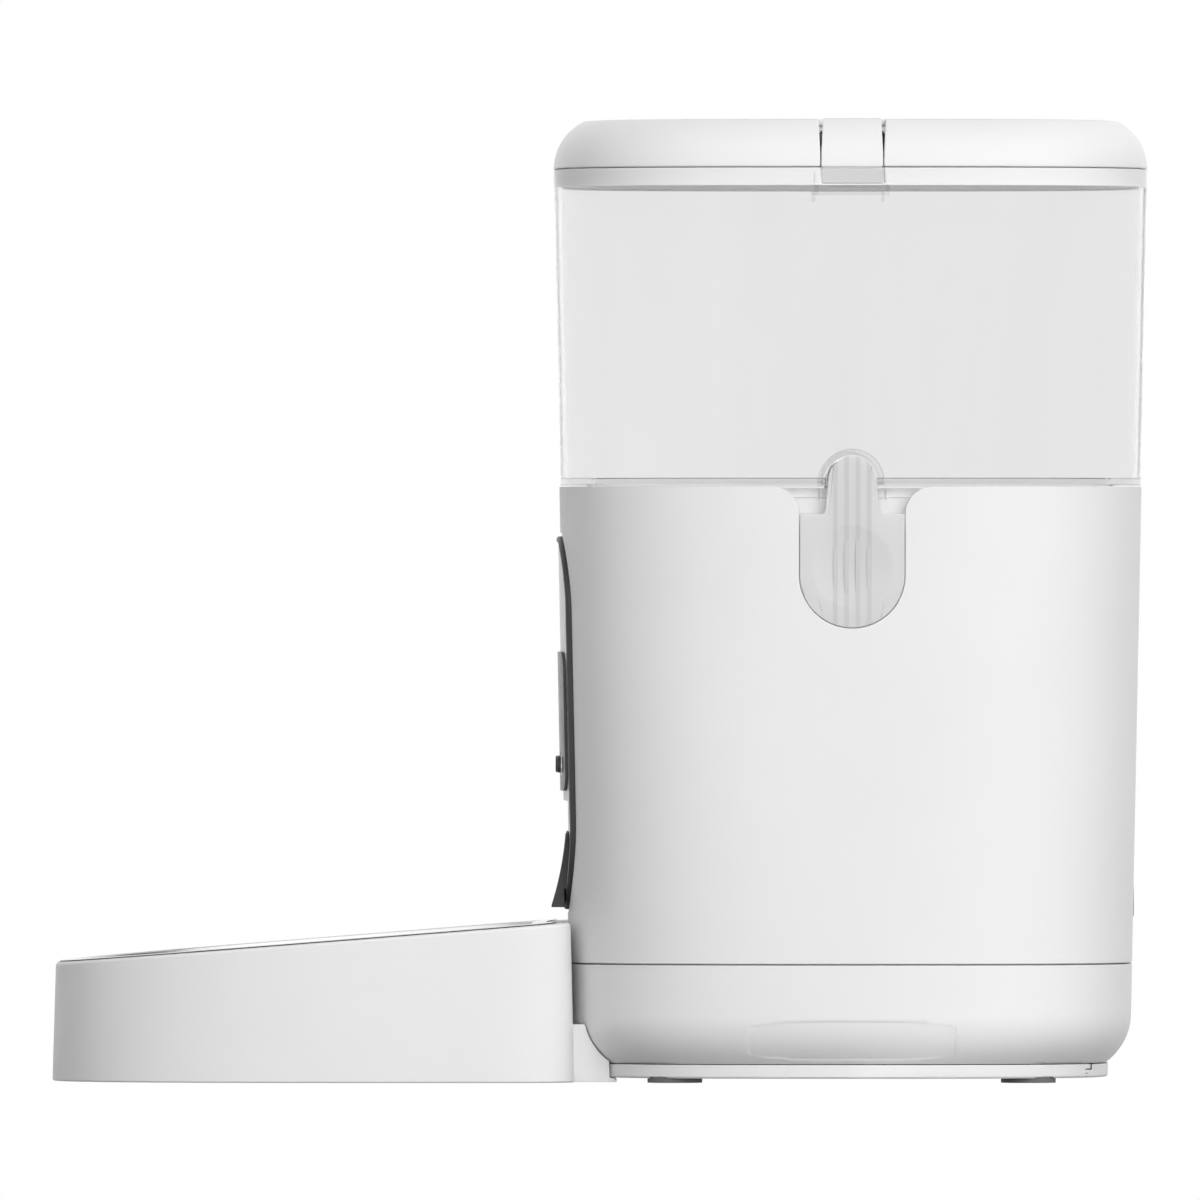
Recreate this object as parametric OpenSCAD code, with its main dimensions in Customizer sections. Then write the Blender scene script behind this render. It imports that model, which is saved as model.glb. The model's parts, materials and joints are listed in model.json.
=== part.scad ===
// Automatic pet feeder: a tapered, soft-square casing on a rounded base, a clear food tank that lifts
// out, a clipped lid, a metering rotor driven from below, and a bowl that slides off the front.
// +Z is up, the bowl points to -Y, and the origin is on the floor under the middle of the whole feeder.

/* [Casing] */
// Height of the seam between base and casing
seam_z = 39; // [36:0.5:42]
// Half of the casing's depth at that seam
seam_half = 93.5; // [90:0.5:97]
// Draft of the casing and the tank, in degrees
draft = 1; // [0.8:0.1:1.2]
// Exponent of the soft-square plan, from rounder to squarer
squareness = 3.3; // [3.2:0.1:3.6]
// Wall of the casing
wall = 2.6; // [2.2:0.1:3]
// Height of the casing's top edge, where the tank's clear wall begins
case_top_z = 196; // [194:1:198]

/* [Tank and lid] */
// Height of the tank's rim
rim_z = 300; // [290:1:310]
// Wall of the clear tank
tank_wall = 2.2; // [1.8:0.1:2.6]
// Height of the lid above the tank's rim
lid_h = 16; // [15:0.5:17]
// Radius of the lid's shoulder
lid_round = 18; // [17:0.5:20]

/* [Front panel] */
// Half of the panel's width
panel_w = 48; // [44:1:50]
// Height of the panel's lower edge
panel_z0 = 55.6; // [55:0.1:57]
// Height of the panel's upper edge
panel_z1 = 180.3; // [176:0.1:184]

/* [Bowl] */
// How far the bowl's front stands from the casing's axis
bowl_reach = 263.2; // [255:1:275]
// Half of the bowl's width
bowl_w = 76; // [72:1:80]
// Height of the bowl's rim at its front
bowl_front_z = 39; // [36:1:42]
// Height of the bowl's rim at its back
bowl_back_z = 53; // [50:1:53]

/* [Drive] */
// Module of the two gears
gear_module = 0.8; // [0.8:0.05:0.85]
// Teeth on the motor's pinion
pinion_teeth = 14; // [13:1:15]
// Teeth on the drive gear
gear_teeth = 42; // [40:1:42]

/* [Hidden] */

$fn = 64;
ring_steps = 72;      // corners in each soft-square ring
gap = 0.3;            // ordinary clearance between pieces
slip = 0.05;          // radial clearance of a running fit
eps = 0.01;

// Heights inside the casing
base_floor_z = 6;
plinth_z = 1.5;
deck_z = 110;         // top of the well's floor
shelf_z = 140;        // top of the well's shelf
funnel_z = 144;       // foot of the tank's funnel
skirt_z = 172;        // foot of the tank's straight skirt
chamber_r = 52;       // inside radius of the rotor's chamber
well_inset = 6.5;     // from the casing's face to the well
skirt_inset = 9.1;    // from the casing's face to the tank's skirt
drop_y = -35.5;       // middle of the hole that the food drops through
drop_r = 15;
chute_w = 22;         // half of the chute's inside width

// The press latches and the notches that hold them
notch_w = 17.7;
notch_round = 9;
notch_arc_z = 166.5;
latch_z = 186.6;      // top of the paddle
tongue_z = 197.5;     // centre of the tongue's arched top
arch_r = 10.4;
niche_r = 8.4;
latch_t = 3;
dish_z = 168;
dish_r = 14;
dish_depth = 1.5;

// The lid's clips
clip_w = 10.1;
clip_pin_x = 85.5;
clip_pin_z = 312.3;
pin_r = 1.2;
hook_z = 294.9;

// Buttons
button_z = 104.3;
button_r = 2.75;
button_x = 27;

// Screws that hold the casing to the base, and the feet
screw_x = 70;
screw_y = 25;
foot_x = 66;
foot_y = 58;
foot_r = 9;

// Battery bay
bay_w = 51.5;         // half of its width
bay_y0 = 2;
bay_y1 = 68;
cell_r = 16.5;
cell_z = 21.4;
cell_pitch = 2 * cell_r + 1;

bowl_back = 90;       // where the slope of the bowl's rim ends, ahead of the casing's axis
bowl_corner = 85.5;   // how near the bowl's rear corners come to the casing's axis
bowl_hollow = 9.1;    // how deeply the bowl's back is hollowed around the casing's front
bowl_mid = 150;       // where the bowl is widest
bowl_flare = 1.1;     // how much wider the bowl is at the floor
gear_gap = gear_module * (pinion_teeth + gear_teeth) / 2 + 0.05;
rim_half = half(rim_z);
body_y = (bowl_reach - rim_half) / 2;

white = [0.93, 0.93, 0.93];
clear = [0.86, 0.88, 0.9, 0.4];
dark = [0.2, 0.2, 0.21];

function half(z) = seam_half + (z - seam_z) * tan(draft);
function power(t, e) = sign(t) * pow(abs(t), e);
function ring(h, z, n = squareness) = [
    for (i = [0:ring_steps - 1]) let (a = 360 * i / ring_steps)
        [h * power(cos(a), 2 / n), h * power(sin(a), 2 / n), z]
];
function arc(x, y, r, from, to, steps = 12) = [
    for (i = [0:steps]) let (a = from + (to - from) * i / steps) [x + r * cos(a), y + r * sin(a)]
];

// A solid through a list of rings, capped at both ends, or closed on itself.
module skin(rings, closed = false) {
    count = len(rings[0]);
    last = len(rings) - 1;
    sides = [
        for (i = [0:closed ? last : last - 1], k = [0:count - 1])
            let (j = (i + 1) % (last + 1), m = (k + 1) % count, a = i * count, b = j * count)
                each [[a + k, b + k, b + m], [a + k, b + m, a + m]]
    ];
    caps = closed ? [] : [
        [for (k = [0:count - 1]) k],
        [for (k = [count - 1:-1:0]) last * count + k]
    ];
    polyhedron([for (r = rings) each r], concat(sides, caps), convexity = 8);
}

// The casing's outer form, grown by d, between two heights.
module form(d, z0, z1) skin([ring(half(z0) + d, z0), ring(half(z1) + d, z1)]);

// A layer of that form, from d0 out to d1.
module layer(d0, d1, z0, z1) difference() {
    form(d1, z0, z1);
    form(d0, z0 - 1, z1 + 1);
}

// An outline in X and Z pushed out to the front, and one in Y and Z pushed out to a side.
module to_front(y0, y1) translate([0, -y0, 0]) rotate([90, 0, 0]) linear_extrude(y1 - y0) children();
module to_side(x0, x1) translate([x0, 0, 0]) rotate([90, 0, 90]) linear_extrude(x1 - x0) children();
module both_sides() {
    children();
    mirror([1, 0, 0]) children();
}
module on_body() translate([0, body_y, 0]) children();
module at_corners(x, y) for (sx = [-1, 1], sy = [-1, 1]) translate([sx * x, sy * y, 0]) children();

module round_rect(w, z0, z1, top, bottom) polygon(concat(
    arc(w - top, z1 - top, top, 0, 90), arc(top - w, z1 - top, top, 90, 180),
    arc(bottom - w, z0 + bottom, bottom, 180, 270), arc(w - bottom, z0 + bottom, bottom, 270, 360)
));

// ---- Base ----
base_round = 20;
base_round_z = 22.4;
base_lip = 4.3;

function base_rings(inset, from_z, up) = [
    for (i = up ? [0:6] : [6:-1:0])
        let (
            r = base_round - inset,
            low = asin((base_round_z - from_z) / r),
            a = low * (1 - i / 6)
        )
        ring(half(base_round_z) - base_round + r * cos(a), base_round_z - r * sin(a))
];

// The shallow finger grips low on the two sides.
grip_w = 34;
grip_depth = 1.1;
module finger_grips() both_sides() difference() {
    translate([124.4, grip_w, -3.7]) rotate([90, 0, 0]) cylinder(r = 40, h = 2 * grip_w);
    skin(base_rings(grip_depth, base_floor_z + grip_depth, true));
}

module base_shell() color(white) on_body() {
    top = seam_z - gap;
    edge = half(top);
    difference() {
        union() {
            skin(concat(
                base_rings(0, base_floor_z + gap, true),
                [ring(edge, top), ring(edge - wall - gap, top),
                 ring(edge - wall - gap, top + base_lip),
                 ring(edge - wall - 1.8, top + base_lip), ring(edge - wall - 1.8, top - 3)],
                base_rings(wall, base_floor_z + wall, false)
            ));
            at_corners(screw_x, screw_y) translate([0, 0, base_floor_z + 1]) cylinder(r = 4, h = 31);
            translate([-bay_w - 2, bay_y0 - 2, base_floor_z + 1])
                cube([2 * bay_w + 4, bay_y1 - bay_y0 + 4, 34]);
        }
        translate([-bay_w, bay_y0, 0]) cube([2 * bay_w, bay_y1 - bay_y0, cell_z + cell_r + 1]);
        at_corners(screw_x, screw_y) translate([0, 0, -1]) cylinder(r = 1.8, h = 50);
        finger_grips();
    }
}

// The plinth's form, its rear edge rounded over for the cover but not for the battery door's end wall.
door_w = bay_w + 3.6;
door_z = 4.1;
door_end_y = 79;
plinth_round = 5;
module plinth(top) skin([ring(84.4, plinth_z), ring(84.9, plinth_z + 0.6), ring(84.9, top)]);

module bottom_cover() color(white) on_body() difference() {
    plinth(base_floor_z);
    difference() {
        translate([-90, 84.9 - plinth_round, 1]) cube([180, 10, 10]);
        translate([-90, 84.9 - plinth_round, 1]) rotate([0, 90, 0])
            cylinder(r = plinth_round, h = 180);
    }
    translate([-door_w - 0.4, door_end_y - 0.4, 0]) cube([2 * door_w + 0.8, 20, 10]);
    translate([-bay_w, bay_y0, 0]) cube([2 * bay_w, bay_y1 - bay_y0, 10]);
    translate([-door_w - 0.4, bay_y0 - 4, 0]) cube([2 * door_w + 0.8, 100, door_z + gap]);
    translate([-door_w - 2.4, bay_y0 - 4, 2.7]) cube([2 * door_w + 4.8, 100, door_z + gap - 2.7]);
    at_corners(foot_x, foot_y) cylinder(r = foot_r + 0.1, h = 2.3);
    at_corners(screw_x, screw_y) {
        translate([0, 0, -1]) cylinder(r = 1.8, h = 10);
        cylinder(r = 3.4, h = 3.9);
    }
}

module feet() color([0.45, 0.45, 0.46]) on_body() at_corners(foot_x, foot_y) {
    translate([0, 0, 0.4]) cylinder(r = foot_r, h = 1.8);
    cylinder(r1 = foot_r - 0.4, r2 = foot_r, h = 0.4);
}

module cover_screws() color("silver") on_body() at_corners(screw_x, screw_y) difference() {
    union() {
        translate([0, 0, 1.9]) cylinder(r = 3, h = 1.9);
        translate([0, 0, 3.7]) cylinder(r = 1.5, h = 46);
    }
    for (turn = [0, 90])
        translate([0, 0, 2.3]) rotate([0, 0, turn]) cube([3.6, 0.8, 1], center = true);
}

module battery_cover() color(white) on_body() difference() {
    intersection() {
        plinth(base_floor_z - 0.1);
        union() {
            translate([-door_w, bay_y0 - 3.6, 0]) cube([2 * door_w, 100, door_z]);
            translate([-door_w - 2, bay_y0 - 3.6, 3]) cube([2 * door_w + 4, 82, door_z - 3]);
            translate([-door_w, door_end_y, 0]) cube([2 * door_w, 20, 10]);
        }
    }
    for (i = [0:4]) translate([0, 70 - 3 * i, plinth_z]) cube([24, 1.4, 1.2], center = true);
}

module battery_cells() color([0.55, 0.45, 0.3]) on_body() for (i = [-1:1])
    translate([i * cell_pitch, bay_y0 + 4, cell_z]) rotate([-90, 0, 0]) {
        cylinder(r = cell_r, h = 58);
        translate([0, 0, i == 0 ? -1.5 : 58]) cylinder(r = 5, h = 1.5);
    }

// A plate at each end of each cell, and the cone of its spring.
module battery_contacts() color("silver") on_body() for (i = [-1:1], end = [0, 1])
    translate([i * cell_pitch, end == 0 ? bay_y0 + 0.2 : bay_y1 - 0.2, cell_z]) mirror([0, end, 0]) {
        translate([-9, 0, -9]) cube([18, 0.6, 18]);
        rotate([-90, 0, 0]) cylinder(r1 = 6, r2 = 4.5, h = (end == 0) == (i == 0) ? 2 : 3.4);
    }

// ---- Casing ----
// Where the motor plate is screwed to the well's posts.
module plate_screws() {
    for (x = [-28, 28]) translate([x, -8, 0]) children();
    for (x = [-14, 14]) translate([x, 26, 0]) children();
}

module notch_outline(w, arc_r, round_r, z1) polygon(concat(
    arc(-w - round_r, z1 - round_r, round_r, 90, 0), arc(0, notch_arc_z, arc_r, 180, 360, 24),
    arc(w + round_r, z1 - round_r, round_r, 180, 90),
    [[w + round_r, z1 + 3], [-w - round_r, z1 + 3]]
));

module body_shell() color(white) on_body() {
    z0 = seam_z + gap / 2;
    z1 = case_top_z - gap;
    difference() {
        skin([
            ring(half(z0), z0), ring(half(z1), z1), ring(half(z1) - wall, z1), ring(half(z0) - wall, z0)
        ], closed = true);
        both_sides() to_side(80, 110) notch_outline(notch_w, notch_w, notch_round, z1);
        to_front(70, 110) round_rect(panel_w + gap, panel_z0 - gap, panel_z1 + gap, 26, 32);
        translate([0, 100, 60]) rotate([90, 0, 0]) cylinder(r = 6.4, h = 20);
    }
    for (sx = [-1, 1], sy = [-1, 1]) translate([sx * screw_x, sy * screw_y, 44]) difference() {
        union() {
            cylinder(r = 4, h = 16);
            translate([sx * 11, 0, 8]) cube([20, 2, 16], center = true);
        }
        translate([0, 0, -1]) cylinder(r = 1.55, h = 14);
    }
}

module tank_well() color([0.9, 0.9, 0.91]) on_body() difference() {
    union() {
        difference() {
            skin([
                ring(half(shelf_z) - well_inset, shelf_z - 2), ring(half(192) - well_inset, 192),
                ring(half(192) - wall - 0.1, 192), ring(half(195) - wall - 0.1, 195),
                ring(half(195) - well_inset - 2, 195), ring(half(shelf_z) - well_inset - 2, shelf_z)
            ]);
            intersection() {
                layer(-well_inset, 1, 190, 196);
                translate([-110, -28, 190]) cube([220, 56, 10]);
            }
        }
        translate([0, 0, deck_z - 2]) cylinder(r = chamber_r + 7, h = shelf_z - deck_z + 1);
        plate_screws() translate([0, 0, 90.5]) cylinder(r = 3, h = 18);
    }
    translate([0, 0, deck_z]) cylinder(r = chamber_r + 5, h = 60);
    translate([0, drop_y, deck_z - 5]) cylinder(r = drop_r + 1, h = 10);
    translate([0, 0, deck_z - 5]) cylinder(r = 7, h = 10);
}

chute_floor = [[-20.5, 107.5], [-20.5, 104], [-93.5, 57.5]];
chute_roof = [[-93.5, 79], [-51, 100], [-51, 107.5]];
module chute() color([0.88, 0.88, 0.89]) on_body() difference() {
    intersection() {
        to_side(-chute_w - 2, chute_w + 2) polygon([
            [-18.5, 107.7], [-18.5, 102.8], [-60, 76.4], [-95, 54.1],
            [-95, 80.6], [-53, 101.4], [-53, 107.7]
        ]);
        form(-3.4, 40, 120);
    }
    to_side(-chute_w, chute_w) polygon(concat(
        [[-20.5, 110]], chute_floor, [[-100, 53.4], [-100, 75.8]], chute_roof, [[-51, 110]]));
}

// ---- Front panel ----
// The panel's outline drawn in by d, and the part of a layer that is at the front.
module panel_outline(d) round_rect(panel_w - d, panel_z0 + d, panel_z1 - d, 26 - d, 32 - d);
module front_half() intersection() {
    children();
    translate([-60, -120, 0]) cube([120, 80, 200]);
}

module front_trim() color(dark) on_body() intersection() {
    front_half() layer(-2.4, 1.3, panel_z0 - 5, panel_z1 + 5);
    difference() {
        to_front(60, 110) panel_outline(0);
        to_front(50, 120) panel_outline(3);
    }
}

module button_places() for (x = [-button_x, 0, button_x]) translate([x, 0, button_z]) children();
module front_bore(r, y0 = 60) rotate([90, 0, 0]) translate([0, 0, y0]) cylinder(r = r, h = 60);

step_z = 92.4;
module front_panel() color(white) on_body() difference() {
    intersection() {
        front_half() layer(-2, 0.7, panel_z0, panel_z1);
        to_front(60, 110) panel_outline(3.3);
    }
    layer(-0.7, 3, panel_z0 - 5, step_z);
    to_front(60, 110) round_rect(30, 112, 136, 2, 2);
    to_front(60, 110) outlet();
    button_places() front_bore(button_r + 1.2);
}

module display_window() color([0.42, 0.43, 0.44]) on_body() difference() {
    intersection() {
        front_half() layer(0.8, 1.7, 90, 150);
        to_front(60, 110) round_rect(41, 95.6, 141.4, 6, 6);
    }
    button_places() front_bore(button_r + 1.2);
}

module display_board() color([0.1, 0.35, 0.18]) on_body() {
    translate([-38, -88.6, 96]) cube([76, 1.6, 40.5]);
    translate([-28, -91.2, 113]) cube([56, 2.6, 22]);
}

module tact_switches() color([0.15, 0.15, 0.16]) on_body() button_places()
    translate([-3, -90.2, -3]) cube([6, 1.6, 6]);

module button_rings() color("silver") on_body() button_places() intersection() {
    rotate([90, 0, 0]) translate([0, 0, 85]) difference() {
        cylinder(r = button_r + 1.15, h = 20);
        translate([0, 0, -1]) cylinder(r = button_r + 0.25, h = 22);
    }
    translate([0, 0, -button_z]) layer(-1.6, 2.2, 90, 120);
}

module button(x) color([0.12, 0.12, 0.13]) on_body() translate([x, 0, button_z]) rotate([90, 0, 0]) {
    front = half(button_z) + 2.9 - (x == 0 ? 0 : 0.55);
    translate([0, 0, 91.4]) cylinder(r = button_r, h = front - 91.4);
}
module left_button() button(-button_x);
module middle_button() button(0);
module right_button() button(button_x);

hood_top = 82.2;
hood_foot = 57.3;
module outlet() polygon(concat(
    arc(17, 71.5, 5, 0, 90), arc(-17, 71.5, 5, 90, 180), [[-25, panel_z0 - 1], [25, panel_z0 - 1]]
));
hood_h = hood_top - 1 - hood_foot;

// The hood's front curves outwards on its way down.
module hood_profile() polygon(concat(
    [[-90, hood_foot], [-90, hood_top], [-93.6, hood_top]],
    [for (i = [0:8]) let (t = i / 8) [-94 - 1.9 * t - 2.8 * t * t, hood_foot + hood_h * (1 - t)]]
));
module hood_front() polygon(concat(
    arc(20, hood_top - 8, 8, 0, 90), arc(-20, hood_top - 8, 8, 90, 180),
    [[-33, hood_foot], [33, hood_foot]]
));
module outlet_hood() color(dark) on_body() difference() {
    intersection() {
        to_side(-34, 34) hood_profile();
        to_front(60, 110) hood_front();
    }
    to_front(60, 110) outlet();
    form(-0.6, 40, 100);
    front_half() intersection() {
        layer(-3, 1.6, 50, 70);
        difference() {
            to_front(60, 110) panel_outline(-5);
            to_front(50, 120) panel_outline(3.3);
        }
    }
}

// ---- Drive ----
function involute(a) = tan(a) * 180 / PI - a;
function gear_outline(teeth, turn) = let (
    pitch = gear_module * teeth / 2,
    base = pitch * cos(20),
    root = pitch - gear_module,
    tip = pitch + 0.8 * gear_module,
    backlash = 0.14 / pitch * 90 / PI
) [
    for (k = [0:teeth - 1], side = [-1, 1], i = [0:4]) let (
        u = side < 0 ? i / 4 : 1 - i / 4,
        r = max(base, root) + (tip - max(base, root)) * u,
        thick = 90 / teeth - backlash + involute(20) - involute(acos(min(1, base / r))),
        a = turn + 360 * k / teeth + side * thick
    ) each (i == (side < 0 ? 0 : 4) && root < base)
        ? (side < 0 ? [[root * cos(a), root * sin(a)], [r * cos(a), r * sin(a)]]
                    : [[r * cos(a), r * sin(a)], [root * cos(a), root * sin(a)]])
        : [[r * cos(a), r * sin(a)]]
];
gear_z = 93;
gear_t = 6;

module drive_gear() color([0.92, 0.9, 0.82]) on_body() translate([0, 0, gear_z]) difference() {
    union() {
        linear_extrude(gear_t) polygon(gear_outline(gear_teeth, 90));
        translate([0, 0, gear_t - eps]) cylinder(r = 7, h = 3);
    }
    translate([0, 0, -1]) cylinder(r = 4, h = 20);
}

module motor_pinion() color("goldenrod") on_body() translate([0, gear_gap, gear_z]) difference() {
    linear_extrude(gear_t) polygon(gear_outline(pinion_teeth, 270 + 180 / pinion_teeth));
    translate([0, 0, -1]) cylinder(r = 1.5 + slip, h = 20);
}

module drive_shaft() color("silver") on_body() {
    translate([0, 0, 84]) cylinder(r = 4, h = 27.8);
    translate([0, 0, 111.8 - eps]) cylinder(r = 6.2, h = 6.7, $fn = 6);
}

bush_h = 4.6;
module bush() color("peru") difference() {
    union() {
        cylinder(r = 6.95, h = bush_h);
        cylinder(r = 8.5, h = 1);
    }
    translate([0, 0, -1]) cylinder(r = 4 + slip, h = bush_h + 2);
}
module upper_bush() on_body() translate([0, 0, deck_z - 3.1]) bush();
module lower_bush() on_body() translate([0, 0, 91.1]) mirror([0, 0, 1]) bush();

module motor_plate() color([0.88, 0.88, 0.89]) on_body() translate([0, 0, 86.5]) difference() {
    union() {
        cylinder(r = 16.5, h = 3.5);
        translate([0, gear_gap, 0]) cylinder(r = 20, h = 3.5);
        translate([-16.5, 0, 0]) cube([33, gear_gap, 3.5]);
        translate([-28, -12, 0]) cube([56, 8, 3.5]);
        for (x = [-28, 28]) translate([x, -8, 0]) cylinder(r = 4, h = 3.5);
    }
    translate([0, 0, -1]) cylinder(r = 7, h = 10);
    translate([0, gear_gap, -1]) cylinder(r = 6.2, h = 10);
    plate_screws() translate([0, 0, -1]) cylinder(r = 1.3, h = 10);
}

module gearhead() color([0.6, 0.6, 0.62]) on_body() translate([0, gear_gap, 0]) {
    translate([0, 0, 66]) cylinder(r = 18, h = 20.3);
    translate([0, 0, 86]) cylinder(r = 6, h = 3.5);
    translate([0, 0, 89]) cylinder(r = 1.5, h = 11);
}

module motor_can() color("silver") on_body() translate([0, gear_gap, 0]) difference() {
    union() {
        translate([0, 0, 44]) cylinder(r = 14, h = 21.8);
        translate([0, 0, 42]) cylinder(r = 4, h = 3);
    }
    both_sides() translate([13.2, -10, 43]) cube([5, 20, 24]);
}

module main_board() color([0.1, 0.35, 0.18]) on_body() {
    translate([-40, 82, 44]) cube([80, 1.6, 50]);
    for (x = [-28, -8, 20]) translate([x, 77, 66]) cube([10, 5.01, 12]);
}

module power_socket() color([0.1, 0.1, 0.11]) on_body() translate([0, 0, 60]) rotate([-90, 0, 0]) {
    difference() {
        union() {
            translate([-5, -5, 83.8]) cube([10, 10, 7]);
            translate([0, 0, 84]) cylinder(r = 6, h = 9.5);
        }
        translate([0, 0, 86]) cylinder(r = 2.8, h = 12);
    }
    translate([0, 0, 85.5]) cylinder(r = 0.85, h = 6.8);
}

// ---- Tank ----
module arch(r, z0) polygon(concat([[r, z0]], arc(0, tongue_z, r, 0, 180, 24), [[-r, z0]]));

module food_tank() color(clear) on_body() {
    z0 = case_top_z + gap / 2;
    foot = deck_z + 3.1;
    difference() {
        union() {
            skin([
                ring(chamber_r + 2, foot, 2), ring(chamber_r + 2, funnel_z, 2),
                ring(half(skirt_z) - skirt_inset, skirt_z), ring(half(z0) - skirt_inset, z0),
                ring(half(z0), z0), ring(rim_half, rim_z), ring(rim_half - tank_wall, rim_z),
                ring(half(z0) - tank_wall, z0 + tank_wall),
                ring(half(z0) - skirt_inset - 2, z0 + tank_wall),
                ring(half(skirt_z) - skirt_inset - 2, skirt_z + 1),
                ring(chamber_r, funnel_z + 1, 2), ring(chamber_r, foot, 2)
            ], closed = true);
            both_sides() intersection() {
                layer(-skirt_inset, 0, z0, 215);
                to_side(80, 110) arch(arch_r, z0);
            }
            both_sides() {
                intersection() {
                    layer(-0.5, 0.8, 293.1, 294.5);
                    translate([80, -12.4, 290]) cube([30, 24.8, 10]);
                }
                for (y = [-11.6, 11.6]) intersection() {
                    layer(-0.5, 0.5, 290.8, 298.5);
                    translate([80, y - 0.6, 280]) cube([30, 1.2, 20]);
                }
            }
        }
        both_sides() {
            to_side(half(tongue_z) - 7, 110) arch(niche_r, 190);
            translate([rim_half - 1.2, -10.6, hook_z - 0.2]) cube([10, 21.2, 10]);
        }
    }
}

module tank_floor() color(white) on_body() translate([0, 0, deck_z + 0.4]) difference() {
    cylinder(r = chamber_r + 2, h = 2.5);
    translate([0, 0, -1]) cylinder(r = 9, h = 5);
    translate([0, drop_y, -1]) cylinder(r = drop_r, h = 5);
}

dish_ball = (dish_r * dish_r + dish_depth * dish_depth) / 2 / dish_depth;

module press_latch() intersection() {
    difference() {
        union() {
            intersection() {
                layer(-latch_t, -0.05, 140, 210);
                to_side(80, 110) union() {
                    polygon(concat(
                        [[-8.9, latch_z - 1], [-8, tongue_z]], arc(0, tongue_z, 7.9, 180, 0, 24),
                        [[8, tongue_z], [8.9, latch_z - 1]]
                    ));
                    polygon(concat(
                        arc(0, notch_arc_z, notch_w - 0.5, 180, 360, 24),
                        [[notch_w - 0.5, latch_z], [0.5 - notch_w, latch_z]]
                    ));
                }
            }
            for (y = [-5.55, -1.85, 1.85, 5.55]) intersection() {
                layer(-latch_t - 1.2, -latch_t + 0.1, 150.2, 203);
                translate([80, y - 0.75, 140]) cube([30, 1.5, 80]);
            }
        }
        translate([half(dish_z) - dish_depth + dish_ball, 0, dish_z])
            sphere(r = dish_ball, $fn = 120);
        translate([half(tongue_z) - 3, 0, 203]) rotate([90, 0, 0])
            cylinder(r = 0.6, h = 40, center = true);
    }
    translate([80, -40, 140]) cube([30, 80, 80]);
}
module left_press_latch() color(clear) on_body() press_latch();
module right_press_latch() color(clear) on_body() mirror([1, 0, 0]) press_latch();

module rotor_hub() color([0.8, 0.82, 0.84]) on_body() difference() {
    union() {
        translate([0, 0, deck_z + 3.2]) cylinder(r = 13, h = 26);
        for (i = [0:5])
            rotate([0, 0, 60 * i]) translate([0, -1.2, deck_z + 3.2]) cube([38, 2.4, 24]);
    }
    translate([0, 0, deck_z]) cylinder(r = 6.5, h = 9.5, $fn = 6);
    translate([0, 0, deck_z + 20]) cylinder(r = 3.5, h = 20);
}

module rotor_paddles() color([0.95, 0.95, 0.9]) on_body() for (i = [0:5]) rotate([0, 0, 60 * i])
    translate([38.1, -1, deck_z + 5.2]) cube([12.4, 2, 22]);

module stirrer() color([0.8, 0.82, 0.84]) on_body() {
    translate([0, 0, deck_z + 20.5]) cylinder(r = 3.45, h = 9);
    translate([0, 0, deck_z + 29.4]) cylinder(r1 = 12.5, r2 = 4, h = 10);
    for (turn = [0, 180]) rotate([0, 0, turn + 30]) translate([0, -2, deck_z + 31]) cube([30, 4, 3]);
}

// ---- Lid ----
function lid_rings(inset, top, up) = [
    for (i = up ? [0:8] : [8:-1:0]) let (
        r = lid_round - inset,
        a = asin((top - rim_z) / r) * i / 8
    ) ring(rim_half - 0.2 - lid_round + r * cos(a), rim_z + r * sin(a) + gap * (8 - i) / 8)
];

module clip_space(w, x0) translate([x0, -w, rim_z - 4]) cube([40, 2 * w, 40]);
module at_clip_pin() translate([clip_pin_x, 0, clip_pin_z]) rotate([90, 0, 0]) children();

module lid_shell() color(white) on_body() difference() {
    union() {
        skin(concat(lid_rings(2.4, rim_z + lid_h - 2.4, false), lid_rings(0, rim_z + lid_h, true)));
        intersection() {
            skin(lid_rings(1, rim_z + lid_h - 1, true));
            both_sides() for (y = [-13.9, 10.9])
                translate([clip_pin_x - 5, y, rim_z + 8]) cube([10, 3, 9]);
        }
    }
    both_sides() {
        clip_space(10.7, clip_pin_x - 4.3);
        at_clip_pin() cylinder(r = pin_r + 0.02, h = 26, center = true);
    }
}

module lid_clip() intersection() {
    difference() {
        union() {
            intersection() {
                difference() {
                    skin(lid_rings(-0.2, rim_z + lid_h + 0.2, true));
                    translate([0, 0, -eps]) skin(lid_rings(2.2, rim_z + lid_h - 1.6, true));
                    translate([0, 0, rim_z - 1]) cube([2 * clip_pin_x, 60, 40], center = true);
                }
                translate([80, -clip_w, rim_z]) cube([40, 2 * clip_w, 40]);
            }
            at_clip_pin() cylinder(r = 2.7, h = 2 * clip_w, center = true);
            translate([rim_half - 0.95, -clip_w, hook_z]) cube([0.95, 2 * clip_w, 7]);
        }
        at_clip_pin() cylinder(r = pin_r + slip, h = 30, center = true);
    }
    translate([70, -20, 280]) cube([40, 40, 60]);
}
module left_lid_clip() color(white) on_body() lid_clip();
module right_lid_clip() color(white) on_body() mirror([1, 0, 0]) lid_clip();

module clip_pins() color("silver") on_body() both_sides() at_clip_pin()
    cylinder(r = pin_r, h = 25.6, center = true);

liner_half = rim_half - tank_wall - 1.2;
module lid_liner() color(white) on_body() difference() {
    skin([
        ring(liner_half - 2, rim_z + 1), ring(liner_half - 2, 295), ring(liner_half, 295),
        ring(liner_half, 296.4), ring(liner_half - 1.1, 296.4), ring(liner_half - 1.1, 298.4),
        ring(liner_half, 298.4), ring(liner_half, rim_z + 2), ring(liner_half - 1.8, rim_z + 3)
    ]);
    for (a = [0:30:330]) rotate([0, 0, a]) translate([16, 0, 290]) cylinder(r = 2, h = 20);
}

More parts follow.
